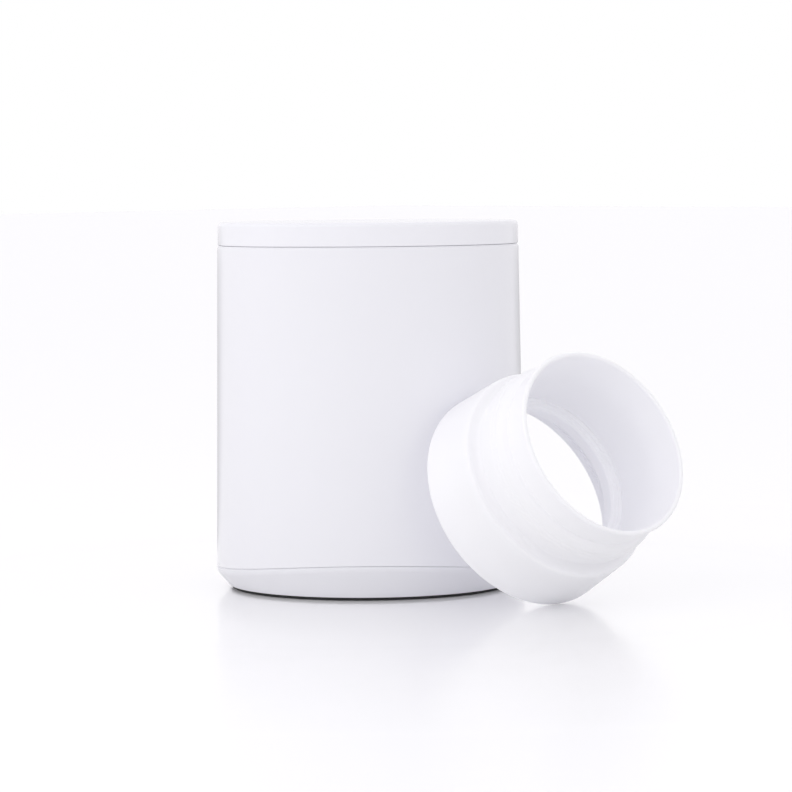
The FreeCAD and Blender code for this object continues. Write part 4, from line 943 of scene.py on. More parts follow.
@dataclass
class Housing:
    """Outer wall, base and foot ring.

    Attributes:
        draft: Degrees that the wall widens towards the base.
        wall: Thickness of the wall.
        ledge: Width and height of the ledge under the deck.
        deck: Thickness of the deck that the ledge carries.
        seam_gap: Width of the line between wall and base.
        seam_round: Round of the wall's lower edge.
        seam_edge: Round of the base's edge at the seam.
        seam_tongue: Inset and height of the base's tongue behind the seam.
        tongue_width: From the seam in to the tongue's other side.
        turned_at: Heights that the knee, the seam and the tongue are turned at, before the arch
            lifts them.
        side_at: Heights where the wall is as wide as the base's knee and its seam.
        rows: Heights of the wall's rows of faces.
        lid_inset: From the wall's top edge in to the lid.
        top_round: Round of the wall's top edge.
        top_lip: Inset and height of the wall's lip behind the line under the lid.
        lip_step: From the wall's inside to that lip.
        knee_drop: From the seam down to the knee.
        knee_round: Radius that blends the base's side into its taper.
        foot_inset: From the wall's top radius in to the base's lower edge.
        foot_lift: Height of that edge.
        floor: Thickness of the base's floor.
        lip_top: Height of the base's inner lip.
        lip_width: Thickness of that lip.
        lip_clear: Gap between lip and wall.
        groove: Depth of the foot ring's groove, and how far in it starts and ends.
        foot_width: Width of the foot ring.
        pillar_angle: Heading of the screw pillars from the X axis.
        pillar_radius: Radius of the pillars and the posts.
        pillar_inset: From the wall's inside in to the pillars' axes.
        pillar_bore: Radius of the hole through a pillar.
        pillar_rise: From the base's inner lip up to the pillars' tops.
        post_height: Length of the posts.
        post_bore: Radius and depth of the hole in a post.
        web: Thickness of the web that ties a post to the wall, and how far it stays below.
        notch: Radius and depth of the ledge's notches.
        sunk: How far pillars and pegs go into the base's floor.
        peg: Radius and height of the pegs of the battery tray.
        peg_inset: From the pack's corner in to the pegs' axes.
        pack_clear: Gap round the battery pack.
        tray_relief: Width and height of the relief for the tray, and its lift over the floor.
        arch: The seam's arch.
    """

    draft: float = 0.7
    wall: float = 2.2
    ledge: Pair = (1.6, 2.0)
    deck: float = 2.2
    seam_gap: float = 0.3
    seam_round: float = 0.15
    seam_edge: float = 0.1
    seam_tongue: Pair = (0.17, 0.24)
    tongue_width: float = 1.2
    turned_at: Triple = (4.0, 5.0, 5.2)
    side_at: Pair = (8.6, 9.4)
    rows: tuple[float, ...] = (14.0, 26.0, 31.0, 39.0, 48.0, 66.0, 76.0, 86.0)
    lid_inset: float = 0.15
    top_round: float = 0.25
    top_lip: Pair = (0.3, 0.32)
    lip_step: float = 0.1
    knee_drop: float = 1.1
    knee_round: float = 2.0
    foot_inset: float = 2.4
    foot_lift: float = 0.8
    floor: float = 2.5
    lip_top: float = 11.1
    lip_width: float = 2.1
    lip_clear: float = 0.35
    groove: Triple = (1.0, 0.6, 7.6)
    foot_width: float = 6.8
    pillar_angle: float = 70.0
    pillar_radius: float = 2.9
    pillar_inset: float = 4.6
    pillar_bore: float = 1.45
    pillar_rise: float = 0.2
    post_height: float = 18.0
    post_bore: Pair = (1.28, 6.5)
    web: Pair = (3.0, 0.5)
    notch: Pair = (1.95, 3.0)
    sunk: float = 0.5
    peg: Pair = (1.5, 2.3)
    peg_inset: Pair = (10.0, 6.4)
    pack_clear: float = 0.3
    tray_relief: Triple = (18.6, 12.0, 3.2)
    arch: Arch = field(default_factory=Arch)

    def __post_init__(self) -> None:
        """Read the sizes that the frame fixes, and work out those that follow from them."""
        self.top = node_box("outer_shell")[1].z
        self.top_radius = node_box("lid_cap")[1].x + self.lid_inset
        self.pillar_top = self.lip_top + self.pillar_rise
        self.pillar_reach = self.radius(self.pillar_top) - self.wall - self.pillar_inset
        self.base_floor = self.foot_lift + self.groove[0] + self.floor

    def radius(self, height: float) -> float:
        """Return the wall's outer radius at a height."""
        return self.top_radius + (self.top - height) * math.tan(math.radians(self.draft))

    def headings(self) -> list[float]:
        """Return the headings of the four pillars, in radians."""
        turn = math.radians(self.pillar_angle)
        return [turn, math.pi - turn, math.pi + turn, -turn]

    def build(self) -> None:
        """Build the wall, the base and the foot ring."""
        self._wall()
        self._base()
        self._foot()

    def _wall(self) -> None:
        """Turn the wall, arch its lower edge, add the posts and cut the openings at the back."""
        low = self.turned_at[0]
        under = self.top - self.deck
        width, depth = self.ledge
        lip_inset, lip_height = self.top_lip
        inner = [
            Corner(self.radius(height) - self.wall, height)
            for height in (self.top, under, under - depth, self.rows[0], low)
        ]
        lip_inner = inner[0].radius + self.lip_step
        edge_radius = self.radius(self.arch.crest)
        corners = [
            Corner(edge_radius, low),
            *(Corner(self.radius(height), height) for height in self.rows),
            Corner(self.top_radius, self.top, self.top_round),
            Corner(self.top_radius - lip_inset, self.top),
            Corner(self.top_radius - lip_inset, self.top + lip_height, 0.05),
            Corner(lip_inner, self.top + lip_height, 0.05),
            Corner(lip_inner, self.top),
            *inner[:2],
            Corner(inner[1].radius - width, under, 0.2),
            Corner(inner[1].radius - width, under - depth, 0.2),
            *inner[2:],
        ]
        wall = Bench.turned("outer_wall", corners, steps=256)
        self.arch.lift(wall, low, self.seam_gap / 2)
        above = self.arch.crest + self.seam_gap
        Bench.soften(
            wall,
            lambda co: co.z < above and abs(co.xy.length - edge_radius) < NEAR,
            self.seam_round,
            segments=4,
        )
        for heading in self.headings():
            Bench.fuse(wall, self._post(heading))
        Bench.cut(wall, [*Back().tools(), *self._notch_tools()])
        Bench.finish(wall, WHITE_GLOSS, "housing", "shell_plastic", ["outer_shell"])

    def _post(self, heading: float) -> list[Piece]:
        """Model one post for a base screw and the web that ties it to the wall.

        Args:
            heading: Its heading from the X axis, in radians.

        Returns:
            The web and the post.
        """
        low, high = self.pillar_top, self.pillar_top + self.post_height
        reach = self.radius(high) - self.wall / 2
        thickness, drop = self.web
        bore, depth = self.post_bore
        size = (reach - self.pillar_reach, thickness, high - low - drop)
        web = Bench.block("web", size, ((self.pillar_reach + reach) / 2, 0, (low + high) / 2))
        post = Bench.turned("post", [
            Corner(0, high),
            Corner(self.pillar_radius, high, 0.3),
            Corner(self.pillar_radius, low, 0.2),
            Corner(bore, low),
            Corner(bore, low + depth),
            Corner(0, low + depth),
        ], steps=48, closed=False)
        Bench.shift(post, Vector((self.pillar_reach, 0, 0)))
        for piece in (web, post):
            Bench.swing(piece, heading)
        return [web, post]

    def _notch_tools(self) -> list[Piece]:
        """Model the tools that notch the ledge round the deck's screw bosses.

        Returns:
            The four tools.
        """
        place = boss_place()
        height = self.top - self.deck - self.ledge[1] / 2
        return [
            Bench.cylinder("notch_tool", self.notch, (side * place, end * place, height), sides=48)
            for side, end in QUADRANTS
        ]

    def _base(self) -> None:
        """Turn the base, arch its seam and its knee, round the knee and cut the pack's reliefs."""
        knee, seam, tongue = self.turned_at
        tongue_inset, tongue_height = self.seam_tongue
        groove_depth, groove_start, groove_end = self.groove
        foot_radius = self.top_radius - self.foot_inset
        groove_floor = self.foot_lift + groove_depth
        groove_low, groove_high = foot_radius - groove_end, foot_radius - groove_start
        lip_outer = self.radius(self.lip_top) - self.wall - self.lip_clear
        lip_inner = lip_outer - self.lip_width
        knee_radius, seam_radius = (self.radius(height) for height in self.side_at)
        tongue_inner = seam_radius - self.tongue_width
        corners = [
            Corner(0, self.foot_lift),
            Corner(groove_low, self.foot_lift, 0.15),
            Corner(groove_low, groove_floor),
            Corner(groove_high, groove_floor),
            Corner(groove_high, self.foot_lift, 0.12),
            Corner(foot_radius, self.foot_lift, 0.35),
            Corner(knee_radius, knee),
            Corner(seam_radius, seam),
            Corner(seam_radius - tongue_inset, seam),
            Corner(seam_radius - tongue_inset, tongue),
            Corner(tongue_inner, tongue),
            Corner(tongue_inner, seam),
            Corner(lip_outer, seam),
            Corner(lip_outer, self.lip_top, 0.3),
            Corner(lip_inner, self.lip_top, 0.3),
            Corner(lip_inner, self.base_floor),
            Corner(0, self.base_floor),
        ]
        base = Bench.turned("base_pan", corners, steps=256, closed=False)
        self.arch.lift(base, knee, -self.knee_drop)
        self.arch.lift(base, seam, -self.seam_gap / 2)
        self.arch.lift(base, tongue, tongue_height - self.seam_gap / 2)
        self._round_knee(base, knee_radius, foot_radius)
        Bench.soften(base, lambda co: abs(co.xy.length - seam_radius) < NEAR, self.seam_edge)
        Bench.cut(base, self._pack_tools())
        self._add_pillars(base)
        Bench.finish(base, BASE_SATIN, "housing", "base_plastic", ["base_cup"])

    def _round_knee(self, base: Piece, knee_radius: float, foot_radius: float) -> None:
        """Blend the base's side into its taper, whose slope changes with the arch.

        Args:
            base: The base.
            knee_radius: Radius of the knee's ring.
            foot_radius: Radius of the base's lower edge.
        """
        widest = 1.6  # width of the bevel at full weight
        mesh = base.data
        weights = mesh.attributes.new("bevel_weight_edge", "FLOAT", "EDGE")
        for edge in mesh.edges:
            ends = [mesh.vertices[index].co / MM for index in edge.vertices]
            if any(abs(end.xy.length - knee_radius) > NEAR for end in ends):
                continue
            height = (ends[0].z + ends[1].z) / 2
            slope = math.atan2(knee_radius - foot_radius, height - self.foot_lift)
            turn = slope + math.radians(self.draft)
            weights.data[edge.index].value = self.knee_round * math.tan(turn / 2) / widest
        Bench.modify(
            base, "BEVEL", width=widest * MM, segments=8, limit_method="WEIGHT", offset_type="OFFSET"
        )

    def _pack_tools(self) -> list[Piece]:
        """Model the tools that relieve the base's lip round the battery pack.

        Returns:
            One tool for each cell and one for the tray.
        """
        tools = []
        for node in ("battery_cell_front", "battery_cell_back"):
            low, high = node_box(node)
            radius = (high.z - low.z) / 2 + self.pack_clear
            length = high.x - low.x + 4 * self.pack_clear
            tools.append(Bench.cylinder("cell_tool", (radius, length), (low + high) / 2, Axis.X))
        reach = node_box("battery_tray")[1].x + self.pack_clear
        width, height, lift = self.tray_relief
        middle = (reach / 2, 0, self.base_floor + lift + height / 2)
        return [*tools, Bench.block("tray_tool", (reach, width, height), middle)]

    def _add_pillars(self, base: Piece) -> None:
        """Join the screw pillars and the pegs of the battery tray to the base's floor.

        Args:
            base: The base.
        """
        foot = self.base_floor - self.sunk
        studs = []
        for heading in self.headings():
            pillar = Bench.turned("pillar", [
                Corner(self.pillar_bore, foot),
                Corner(self.pillar_bore, self.pillar_top, 0.2),
                Corner(self.pillar_radius, self.pillar_top, 0.3),
                Corner(self.pillar_radius, foot),
            ], steps=48)
            Bench.shift(pillar, Vector((self.pillar_reach, 0, 0)))
            Bench.swing(pillar, heading)
            studs.append(pillar)
        cell = node_box("battery_cell_back")[1]
        radius, height = self.peg
        peg_top = self.base_floor + height
        for side, end in QUADRANTS:
            peg = Bench.turned("peg", [
                Corner(0, peg_top), Corner(radius, peg_top, 0.3), Corner(radius, foot), Corner(0, foot),
            ], steps=32, closed=False)
            place = (side * (cell.x - self.peg_inset[0]), end * (cell.y - self.peg_inset[1]), 0)
            Bench.shift(peg, Vector(place))
            studs.append(peg)
        Bench.join(base, studs)

    def _foot(self) -> None:
        """Turn the rubber foot ring."""
        low, high = node_box("foot_ring")
        outer = high.x
        inner = outer - self.foot_width
        foot = Bench.turned("foot_pad", [
            Corner(inner, low.z, 0.3),
            Corner(outer, low.z, 0.3),
            Corner(outer, high.z),
            Corner(inner, high.z),
        ], steps=256)
        Bench.finish(foot, FOOT_RUBBER, "housing", "foot_rubber", ["foot_ring"])


@dataclass
class Back:
    """Openings, power button, indicator and charging port at the back of the housing.

    Attributes:
        button_radius: Radius of the button's barrel.
        button_fit: Gap round the button.
        button_flange: Width and thickness of the flange that holds it in the wall.
        button_dish: Depth of the hollow in its face.
        slot_clear: Gap round the port's shell.
        port_round: Round of the port's shell.
        port_wall: Thickness of the port's shell.
        port_edge: Round of its mouth.
        through: Length of the tools that make the round holes, and their distance from the axis.
    """

    button_radius: float = 4.5
    button_fit: float = 0.1
    button_flange: Pair = (1.1, 0.6)
    button_dish: float = 0.15
    slot_clear: float = 0.25
    port_round: float = 1.4
    port_wall: float = 0.35
    port_edge: float = 0.1
    through: Pair = (20.0, 44.0)

    def tools(self) -> list[Piece]:
        """Model the tools that open the wall for the button, the indicator and the port.

        Returns:
            The three tools.
        """
        pipe_low, pipe_high = node_box("light_pipe")
        tools = []
        for node, radius in (
            ("power_button", self.button_radius + self.button_fit),
            ("light_pipe", (pipe_high.z - pipe_low.z) / 2),
        ):
            low, high = node_box(node)
            middle = (0, self.through[1], (low.z + high.z) / 2)
            tools.append(Bench.cylinder("hole_tool", (radius, self.through[0]), middle, Axis.Y))
        port_low, port_high = node_box("port_shell")
        size = port_high - port_low + Vector((2 * self.slot_clear, 12, 2 * self.slot_clear))
        middle = (port_low + port_high) / 2 + Vector((0, 4, 0))
        slot = Bench.rounded_bar("slot_tool", size, middle, self.port_round + self.slot_clear)
        return [*tools, slot]

    def build(self) -> None:
        """Build the button, the indicator's window and the port's shell."""
        self._button()
        self._window()
        self._port()

    def _button(self) -> None:
        """Turn the button with its flange and its dished face."""
        low, high = node_box("power_button")
        width, thickness = self.button_flange
        flange = (high.x - low.x) / 2
        barrel = flange - width
        dish = Corner(barrel * 0.45, high.y - self.button_dish * 0.8)
        corners = [
            Corner(0, low.y),
            Corner(flange, low.y, 0.1),
            Corner(flange, low.y + thickness, 0.1),
            Corner(barrel, low.y + thickness),
            Corner(barrel, high.y, 0.4),
            Corner(barrel * 0.8, high.y, 0.6),
            *bulge(Corner(barrel * 0.8, high.y), dish, Corner(0, high.y - self.button_dish), 5),
            Corner(0, high.y - self.button_dish),
        ]
        button = Bench.turned("power_key", corners, steps=96, closed=False)
        Bench.turn_to_back(button, (low.z + high.z) / 2)
        Bench.finish(button, BUTTON_GLOSS, "button", "button_plastic", ["power_button"])

    def _window(self) -> None:
        """Turn the indicator's window with a domed end."""
        low, high = node_box("light_pipe")
        radius = (high.z - low.z) / 2
        window = Bench.turned("indicator_window", [
            Corner(0, low.y),
            Corner(radius, low.y, 0.1),
            Corner(radius, high.y, 0.35),
            Corner(0, high.y),
        ], steps=48, closed=False)
        Bench.turn_to_back(window, (low.z + high.z) / 2)
        Bench.finish(window, CLEAR_MOULDING, "housing", "lamp_clear", ["light_pipe"])

    def _port(self) -> None:
        """Model the port's shell as a rounded tube with a rolled mouth."""
        low, high = node_box("port_shell")
        size, middle = high - low, (low + high) / 2
        shell = Bench.rounded_bar("port_sleeve", size, middle, self.port_round)
        wall = Vector((2 * self.port_wall, -4, 2 * self.port_wall))
        bore = Bench.rounded_bar("bore_tool", size - wall, middle, self.port_round - self.port_wall)
        Bench.cut(shell, [bore])
        Bench.soften(shell, lambda co: abs(co.y - high.y) < NEAR, self.port_edge)
        Bench.finish(shell, PORT_STEEL, "housing", "port_metal", ["port_shell"])


# ---- Mouth and chamber ---------------------------------------------------------------------------
@dataclass
class Chamber:
    """Deck round the mouth, seal and steel cup.

    Attributes:
        deck: Thickness of the deck.
        mouth_wall: Thickness of the mouth's wall.
        cup_wall: Thickness of the cup.
        flange: Thickness of the cup's flange.
        corner: Outer radius of the cup's lower corner.
        dimple: Share of the cup's radius that its raised floor takes, its slope and its rise.
        ledge: Width of the step inside the mouth.
        boss: Inner and outer radius of the screw bosses.
        sunk: How far they go into the deck.
    """

    deck: float = 2.2
    mouth_wall: float = 2.2
    cup_wall: float = 0.7
    flange: float = 0.8
    corner: float = 5.0
    dimple: Triple = (0.62, 0.6, 0.25)
    ledge: float = 1.8
    boss: Pair = (1.03, 1.85)
    sunk: float = 0.1

    def build(self) -> None:
        """Build the deck, the seal and the cup."""
        low, high = node_box("mouth_ring")
        seal_low, seal_high = node_box("mouth_seal")
        mouth_outer = seal_high.x
        mouth = mouth_outer - self.mouth_wall
        bore = mouth - self.ledge
        deck = Bench.turned("deck_ring", [
            Corner(mouth, seal_high.z, 0.1),
            Corner(mouth, high.z, 0.6),
            Corner(high.x, high.z, 0.2),
            Corner(high.x, high.z - self.deck),
            Corner(mouth_outer, high.z - self.deck, 0.3),
            Corner(mouth_outer, seal_high.z),
        ], steps=192)
        self._add_bosses(deck, low, high)
        Bench.finish(deck, DECK_GLOSS, "housing", "deck_plastic", ["mouth_ring"])
        seal = Bench.turned("chamber_gasket", [
            Corner(bore + self.cup_wall, seal_low.z),
            Corner(bore + self.cup_wall, seal_high.z, 0.25),
            Corner(mouth_outer, seal_high.z),
            Corner(mouth_outer, seal_low.z),
        ], steps=192)
        Bench.finish(seal, SEAL_SILICONE, "housing", "seal_silicone", ["mouth_seal"])
        self._cup(bore, mouth_outer)

    def _add_bosses(self, deck: Piece, low: Vector, high: Vector) -> None:
        """Join the four screw bosses to the deck's underside.

        Args:
            deck: The deck.
            low: Lowest corner of the frame's deck.
            high: Highest corner of the frame's deck.
        """
        place = boss_place()
        bore, outer = self.boss
        top = high.z - self.deck + self.sunk
        bosses = []
        for side, end in QUADRANTS:
            boss = Bench.turned("boss", [
                Corner(bore, low.z, 0.1),
                Corner(bore, top),
                Corner(outer, top),
                Corner(outer, low.z, 0.2),
            ], steps=32)
            Bench.shift(boss, Vector((side * place, end * place, 0)))
            bosses.append(boss)
        Bench.join(deck, bosses)

    def _cup(self, bore: float, flange_outer: float) -> None:
        """Turn the drawn steel cup.

        Args:
            bore: The cup's inner radius.
            flange_outer: Outer radius of its flange.
        """
        low, high = node_box("chamber_cup")
        outer, floor = bore + self.cup_wall, low.z + self.cup_wall
        share, slope, rise = self.dimple
        corners = [
            Corner(0, low.z),
            Corner(outer, low.z, self.corner),
            Corner(outer, high.z - self.flange, 0.2),
            Corner(flange_outer, high.z - self.flange),
            Corner(flange_outer, high.z),
            Corner(bore, high.z, 0.6),
            Corner(bore, floor, self.corner - self.cup_wall),
            Corner(bore * share, floor, 0.8),
            Corner(bore * share - slope, floor + rise, 0.8),
            Corner(0, floor + rise),
        ]
        cup = Bench.turned("steel_cup", corners, steps=192, closed=False)
        Bench.finish(cup, BRUSHED_STEEL, "housing", "cup_steel", ["chamber_cup"])


# ---- Lid -----------------------------------------------------------------------------------------
@dataclass
class Lid:
    """Lid cover, the plug under it and the plug's seal.

    Attributes:
        edge: Round of the cover's top edge.
        lower_edge: Round of its lower edge.
        thickness: Thickness of the cover's top.
        skirt: Thickness of its skirt.
        plug_wall: Thickness of the plug's wall.
        plug_floor: Thickness of the plug's floor.
        flange: Thickness of the plug's flange.
        rim: Thickness of the rim that the cover is pressed over.
        groove: Depth of the seal's groove.
        fit: From the mouth's wall in to the plug.
        hollow: Share of the plug's radius that the hollow under it takes, its slope and its depth.
        ribs: How far the seal's ribs stand out, and how far from its ends.
    """

    edge: float = 1.0
    lower_edge: float = 0.3
    thickness: float = 2.2
    skirt: float = 2.55
    plug_wall: float = 3.4
    plug_floor: float = 2.0
    flange: float = 1.5
    rim: float = 2.0
    groove: float = 1.2
    fit: float = 0.3
    hollow: Triple = (0.7, 0.6, 0.4)
    ribs: Pair = (0.25, 0.5)

    def build(self) -> None:
        """Build the cover, the plug and the seal."""
        low, high = node_box("lid_cap")
        under = high.z - self.thickness
        cover = Bench.turned("lid_cover", [
            Corner(0, high.z),
            Corner(high.x - 6, high.z),
            Corner(high.x, high.z, self.edge),
            Corner(high.x, low.z, self.lower_edge),
            Corner(high.x - self.skirt, low.z, 0.2),
            Corner(high.x - self.skirt, under, 0.3),
            Corner(0, under),
        ], steps=256, closed=False)
        Bench.finish(cover, LID_GLOSS, "lid", "lid_plastic", ["lid_cap"])
        self._plug(under)
        self._seal()

    def _plug(self, under: float) -> None:
        """Turn the plug.

        Args:
            under: Height of the cover's underside.
        """
        low, high = node_box("lid_plug")
        seal_low, seal_high = node_box("lid_seal")
        rim_outer = high.x
        outer = node_box("mouth_seal")[1].x - Chamber.mouth_wall - self.fit
        inner = outer - self.plug_wall
        share, slope, depth = self.hollow
        deck = node_box("outer_shell")[1].z
        corners = [
            Corner(0, low.z + depth),
            Corner(outer * share, low.z + depth, 0.6),
            Corner(outer * share + slope, low.z, 0.6),
            Corner(outer, low.z, 0.9),
            Corner(outer, seal_low.z, 0.1),
            Corner(outer - self.groove, seal_low.z),
            Corner(outer - self.groove, seal_high.z),
            Corner(outer, seal_high.z, 0.1),
            Corner(outer, deck, 0.3),
            Corner(rim_outer, deck, 0.2),
            Corner(rim_outer, under, 0.2),
            Corner(rim_outer - self.rim, under, 0.2),
            Corner(rim_outer - self.rim, deck + self.flange, 0.3),
            Corner(inner, deck + self.flange, 0.3),
            Corner(inner, low.z + self.plug_floor, 0.5),
            Corner(0, low.z + self.plug_floor),
        ]
        plug = Bench.turned("lid_stopper", corners, steps=192, closed=False)
        Bench.finish(plug, DECK_GLOSS, "lid", "deck_plastic", ["lid_plug"])

    def _seal(self) -> None:
        """Turn the seal with two soft ribs."""
        low, high = node_box("lid_seal")
        outer = high.x
        proud, inset = self.ribs
        root = outer - proud
        inner = root - self.groove
        middle = (low.z + high.z) / 2
        corners = [
            Corner(inner, low.z),
            Corner(root, low.z, 0.1),
            Corner(outer, low.z + inset, 0.3),
            Corner(root, middle, 0.3),
            Corner(outer, high.z - inset, 0.3),
            Corner(root, high.z, 0.1),
            Corner(inner, high.z),
        ]
        seal = Bench.turned("lid_gasket", corners, steps=192)
        Bench.finish(seal, SEAL_SILICONE, "lid", "seal_silicone", ["lid_seal"])


# ---- Bottle adapter ------------------------------------------------------------------------------
@dataclass
class Adapter:
    """Loose silicone sleeve that holds a bottle in the mouth, leaning on the housing.

    Attributes:
        length: Its length along its axis.
        collar: Outer radius of the collar.
        collar_length: Length of the collar.
        collar_edge: Round of the collar's free end.
        collar_taper: How much narrower the collar is at its other end.
        collar_wall: Thickness of the collar round its bore.
        bore_depth: Depth of that bore.
        step_round: Round where the collar steps in to the shoulder.
        step_hollow: Radius of the hollow at the foot of that step.
        shoulder_sag: Bulge of the shoulder.
        neck_drop: The neck's radius below the shoulder's.
        neck_at: Place of the neck along the axis.
        rim_flare: The rim's radius above the neck's.
        flare_sag: Hollow of the flare between neck and rim.
        rim: Thickness of the rim.
        throat_drop: The throat's radius below the collar's.
        throat: Start and end of the throat along the axis.
        funnel_sag: Bulge of the funnel.
        slope: Height and width of the ribbed slope between funnel and throat.
        ribs: Number and height of its ribs.
        grooves: Place, half width and depth of each soft groove round the outside.
        bore_ridges: Places of the fine grooves inside the bore.
        ridge: Radius of the bore's grooves.
        tilt: Degrees that the axis rises from the table.
        facing: Heading of the axis, degrees from +X.
    """

    length: float = 36.6
    collar: float = 29.3
    collar_length: float = 17.1
    collar_edge: float = 1.6
    collar_taper: float = 1.1
    collar_wall: float = 2.4
    bore_depth: float = 8.0
    step_round: float = 0.9
    step_hollow: float = 1.9
    shoulder_sag: float = 1.25
    neck_drop: float = 0.8
    neck_at: float = 28.9
    rim_flare: float = 0.45
    flare_sag: float = 0.25
    rim: float = 1.3
    throat_drop: float = 9.2
    throat: Pair = (9.6, 12.6)
    funnel_sag: float = 0.35
    slope: Pair = (1.8, 2.3)
    ribs: tuple[int, float] = (3, 0.1)
    grooves: tuple[Triple, ...] = (
        (24.4, 0.6, 0.1), (25.7, 0.6, 0.16), (28.9, 1.3, 0.32),
    )
    bore_ridges: Pair = (5.4, 2.6)
    ridge: float = 0.4
    tilt: float = 27.0
    facing: float = -50.5

    def build(self) -> None:
        """Turn the sleeve and lay it where the frame has it."""
        sleeve = Bench.turned("adapter_sleeve", self._outline(), steps=256)
        Bench.alone(sleeve)
        sleeve.rotation_euler = (0, math.radians(90 - self.tilt), math.radians(self.facing))
        bpy.ops.object.transform_apply(rotation=True)
        low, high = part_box("bottle_adapter")
        corners = [Vector(corner) for corner in sleeve.bound_box]
        own = (corners[0] + corners[6]) / 2
        sleeve.location = (low + high) / 2 - own
        bpy.ops.object.transform_apply(location=True)
        Bench.finish(sleeve, MILKY_SILICONE, "adapter", "adapter_silicone", ["bottle_adapter"])

    def _outline(self) -> list[Corner]:
        """Draw the sleeve's outline, with the collar's free end at height 0.

        Returns:
            The corners, from the bore round the outside and back down the funnel.
        """
        collar_top = self.collar - self.collar_taper
        shoulder_radius = collar_top - self.step_round - self.step_hollow
        shoulder = Corner(shoulder_radius, self.collar_length + self.step_hollow, 0.8)
        neck = Corner(shoulder.radius - self.neck_drop, self.neck_at)
        rim_radius = neck.radius + self.rim_flare
        lip = self.length - self.rim / 2
        rim_outer, rim_inner = Corner(rim_radius, lip), Corner(rim_radius - self.rim, lip)
        throat_radius = self.collar - self.throat_drop
        throat_end = Corner(throat_radius, self.throat[1], 0.6)
        throat_start = Corner(throat_radius, self.throat[0], 0.6)
        bore = self.collar - self.collar_wall
        rise, width = self.slope
        slope_top = Corner(throat_radius + width, self.throat[1] + rise)
        funnel_radius = (rim_inner.radius + slope_top.radius) / 2 - self.funnel_sag
        funnel_crown = Corner(funnel_radius, (lip + slope_top.height) / 2)
        flare_radius = (neck.radius + rim_radius) / 2 - self.flare_sag
        flare_crown = Corner(flare_radius, (self.neck_at + lip) / 2)
        rim_crown = Corner(rim_radius - self.rim / 2, self.length)
        return [
            Corner(bore, 0, 0.4),
            Corner(self.collar, 0, self.collar_edge),
            Corner(collar_top, self.collar_length, self.step_round),
            Corner(shoulder.radius, self.collar_length, self.step_hollow * 0.98),
            shoulder,
            *self._dented([*self._shoulder(shoulder, neck), neck]),
            *self._dented(bulge(neck, flare_crown, rim_outer, 40)),
            rim_outer,
            *bulge(rim_outer, rim_crown, rim_inner, 15),
            rim_inner,
            *bulge(rim_inner, funnel_crown, slope_top, 16),
            *self._ribbed(slope_top, throat_end),
            throat_end,
            throat_start,
            Corner(bore, self.bore_depth, 0.8),
            *self._bore(bore),
        ]

    def _bore(self, radius: float) -> list[Corner]:
        """Draw the bore's wall from the throat down, with its two fine grooves.

        Args:
            radius: Radius of the bore.

        Returns:
            The corners of the grooves.
        """
        corners = []
        for middle in self.bore_ridges:
            for step in range(-4, 5):
                offset = step / 4 * self.ridge
                dent = math.sqrt(self.ridge ** 2 - offset ** 2)
                corners.append(Corner(radius + dent, middle - offset))
        return corners

    def _shoulder(self, start: Corner, end: Corner) -> list[Corner]:
        """Draw the shoulder's curve.

        Args:
            start: The shoulder's first corner.
            end: The neck.

        Returns:
            The corners between them.
        """
        chord = Vector((end.radius - start.radius, end.height - start.height))
        outward = Vector((chord.y, -chord.x)).normalized()
        crown = Vector((start.radius + end.radius, start.height + end.height)) / 2
        crown += outward * self.shoulder_sag
        return bulge(start, Corner(crown.x, crown.y), end, 60)

    def _dented(self, corners: list[Corner]) -> list[Corner]:
        """Press the soft grooves into the outside.

        Args:
            corners: Corners of the outside.

        Returns:
            The same corners, closer to the axis where there is a groove.
        """
        dented = []
        for corner in corners:
            radius = corner.radius
            for place, reach, depth in self.grooves:
                near = min(abs(corner.height - place) / reach, 1)
                radius -= depth * (1 + math.cos(math.pi * near)) / 2
            dented.append(Corner(radius, corner.height))
        return dented

    def _ribbed(self, start: Corner, end: Corner) -> list[Corner]:
        """Draw the slope between two corners with its fine ribs.

        Args:
            start: The upper, wider corner, which is part of the result.
            end: The lower, narrower corner, which isn't.

        Returns:
            The corners of the slope.
        """
        count, height = self.ribs
        steps = 10 * count
        corners = []
        for step in range(steps):
            share = step / steps
            swell = height * (1 - math.cos(math.tau * count * share)) / 2
            radius = start.radius + (end.radius - start.radius) * share
            level = start.height + (end.height - start.height) * share
            corners.append(Corner(radius - swell, level + swell))
        return corners


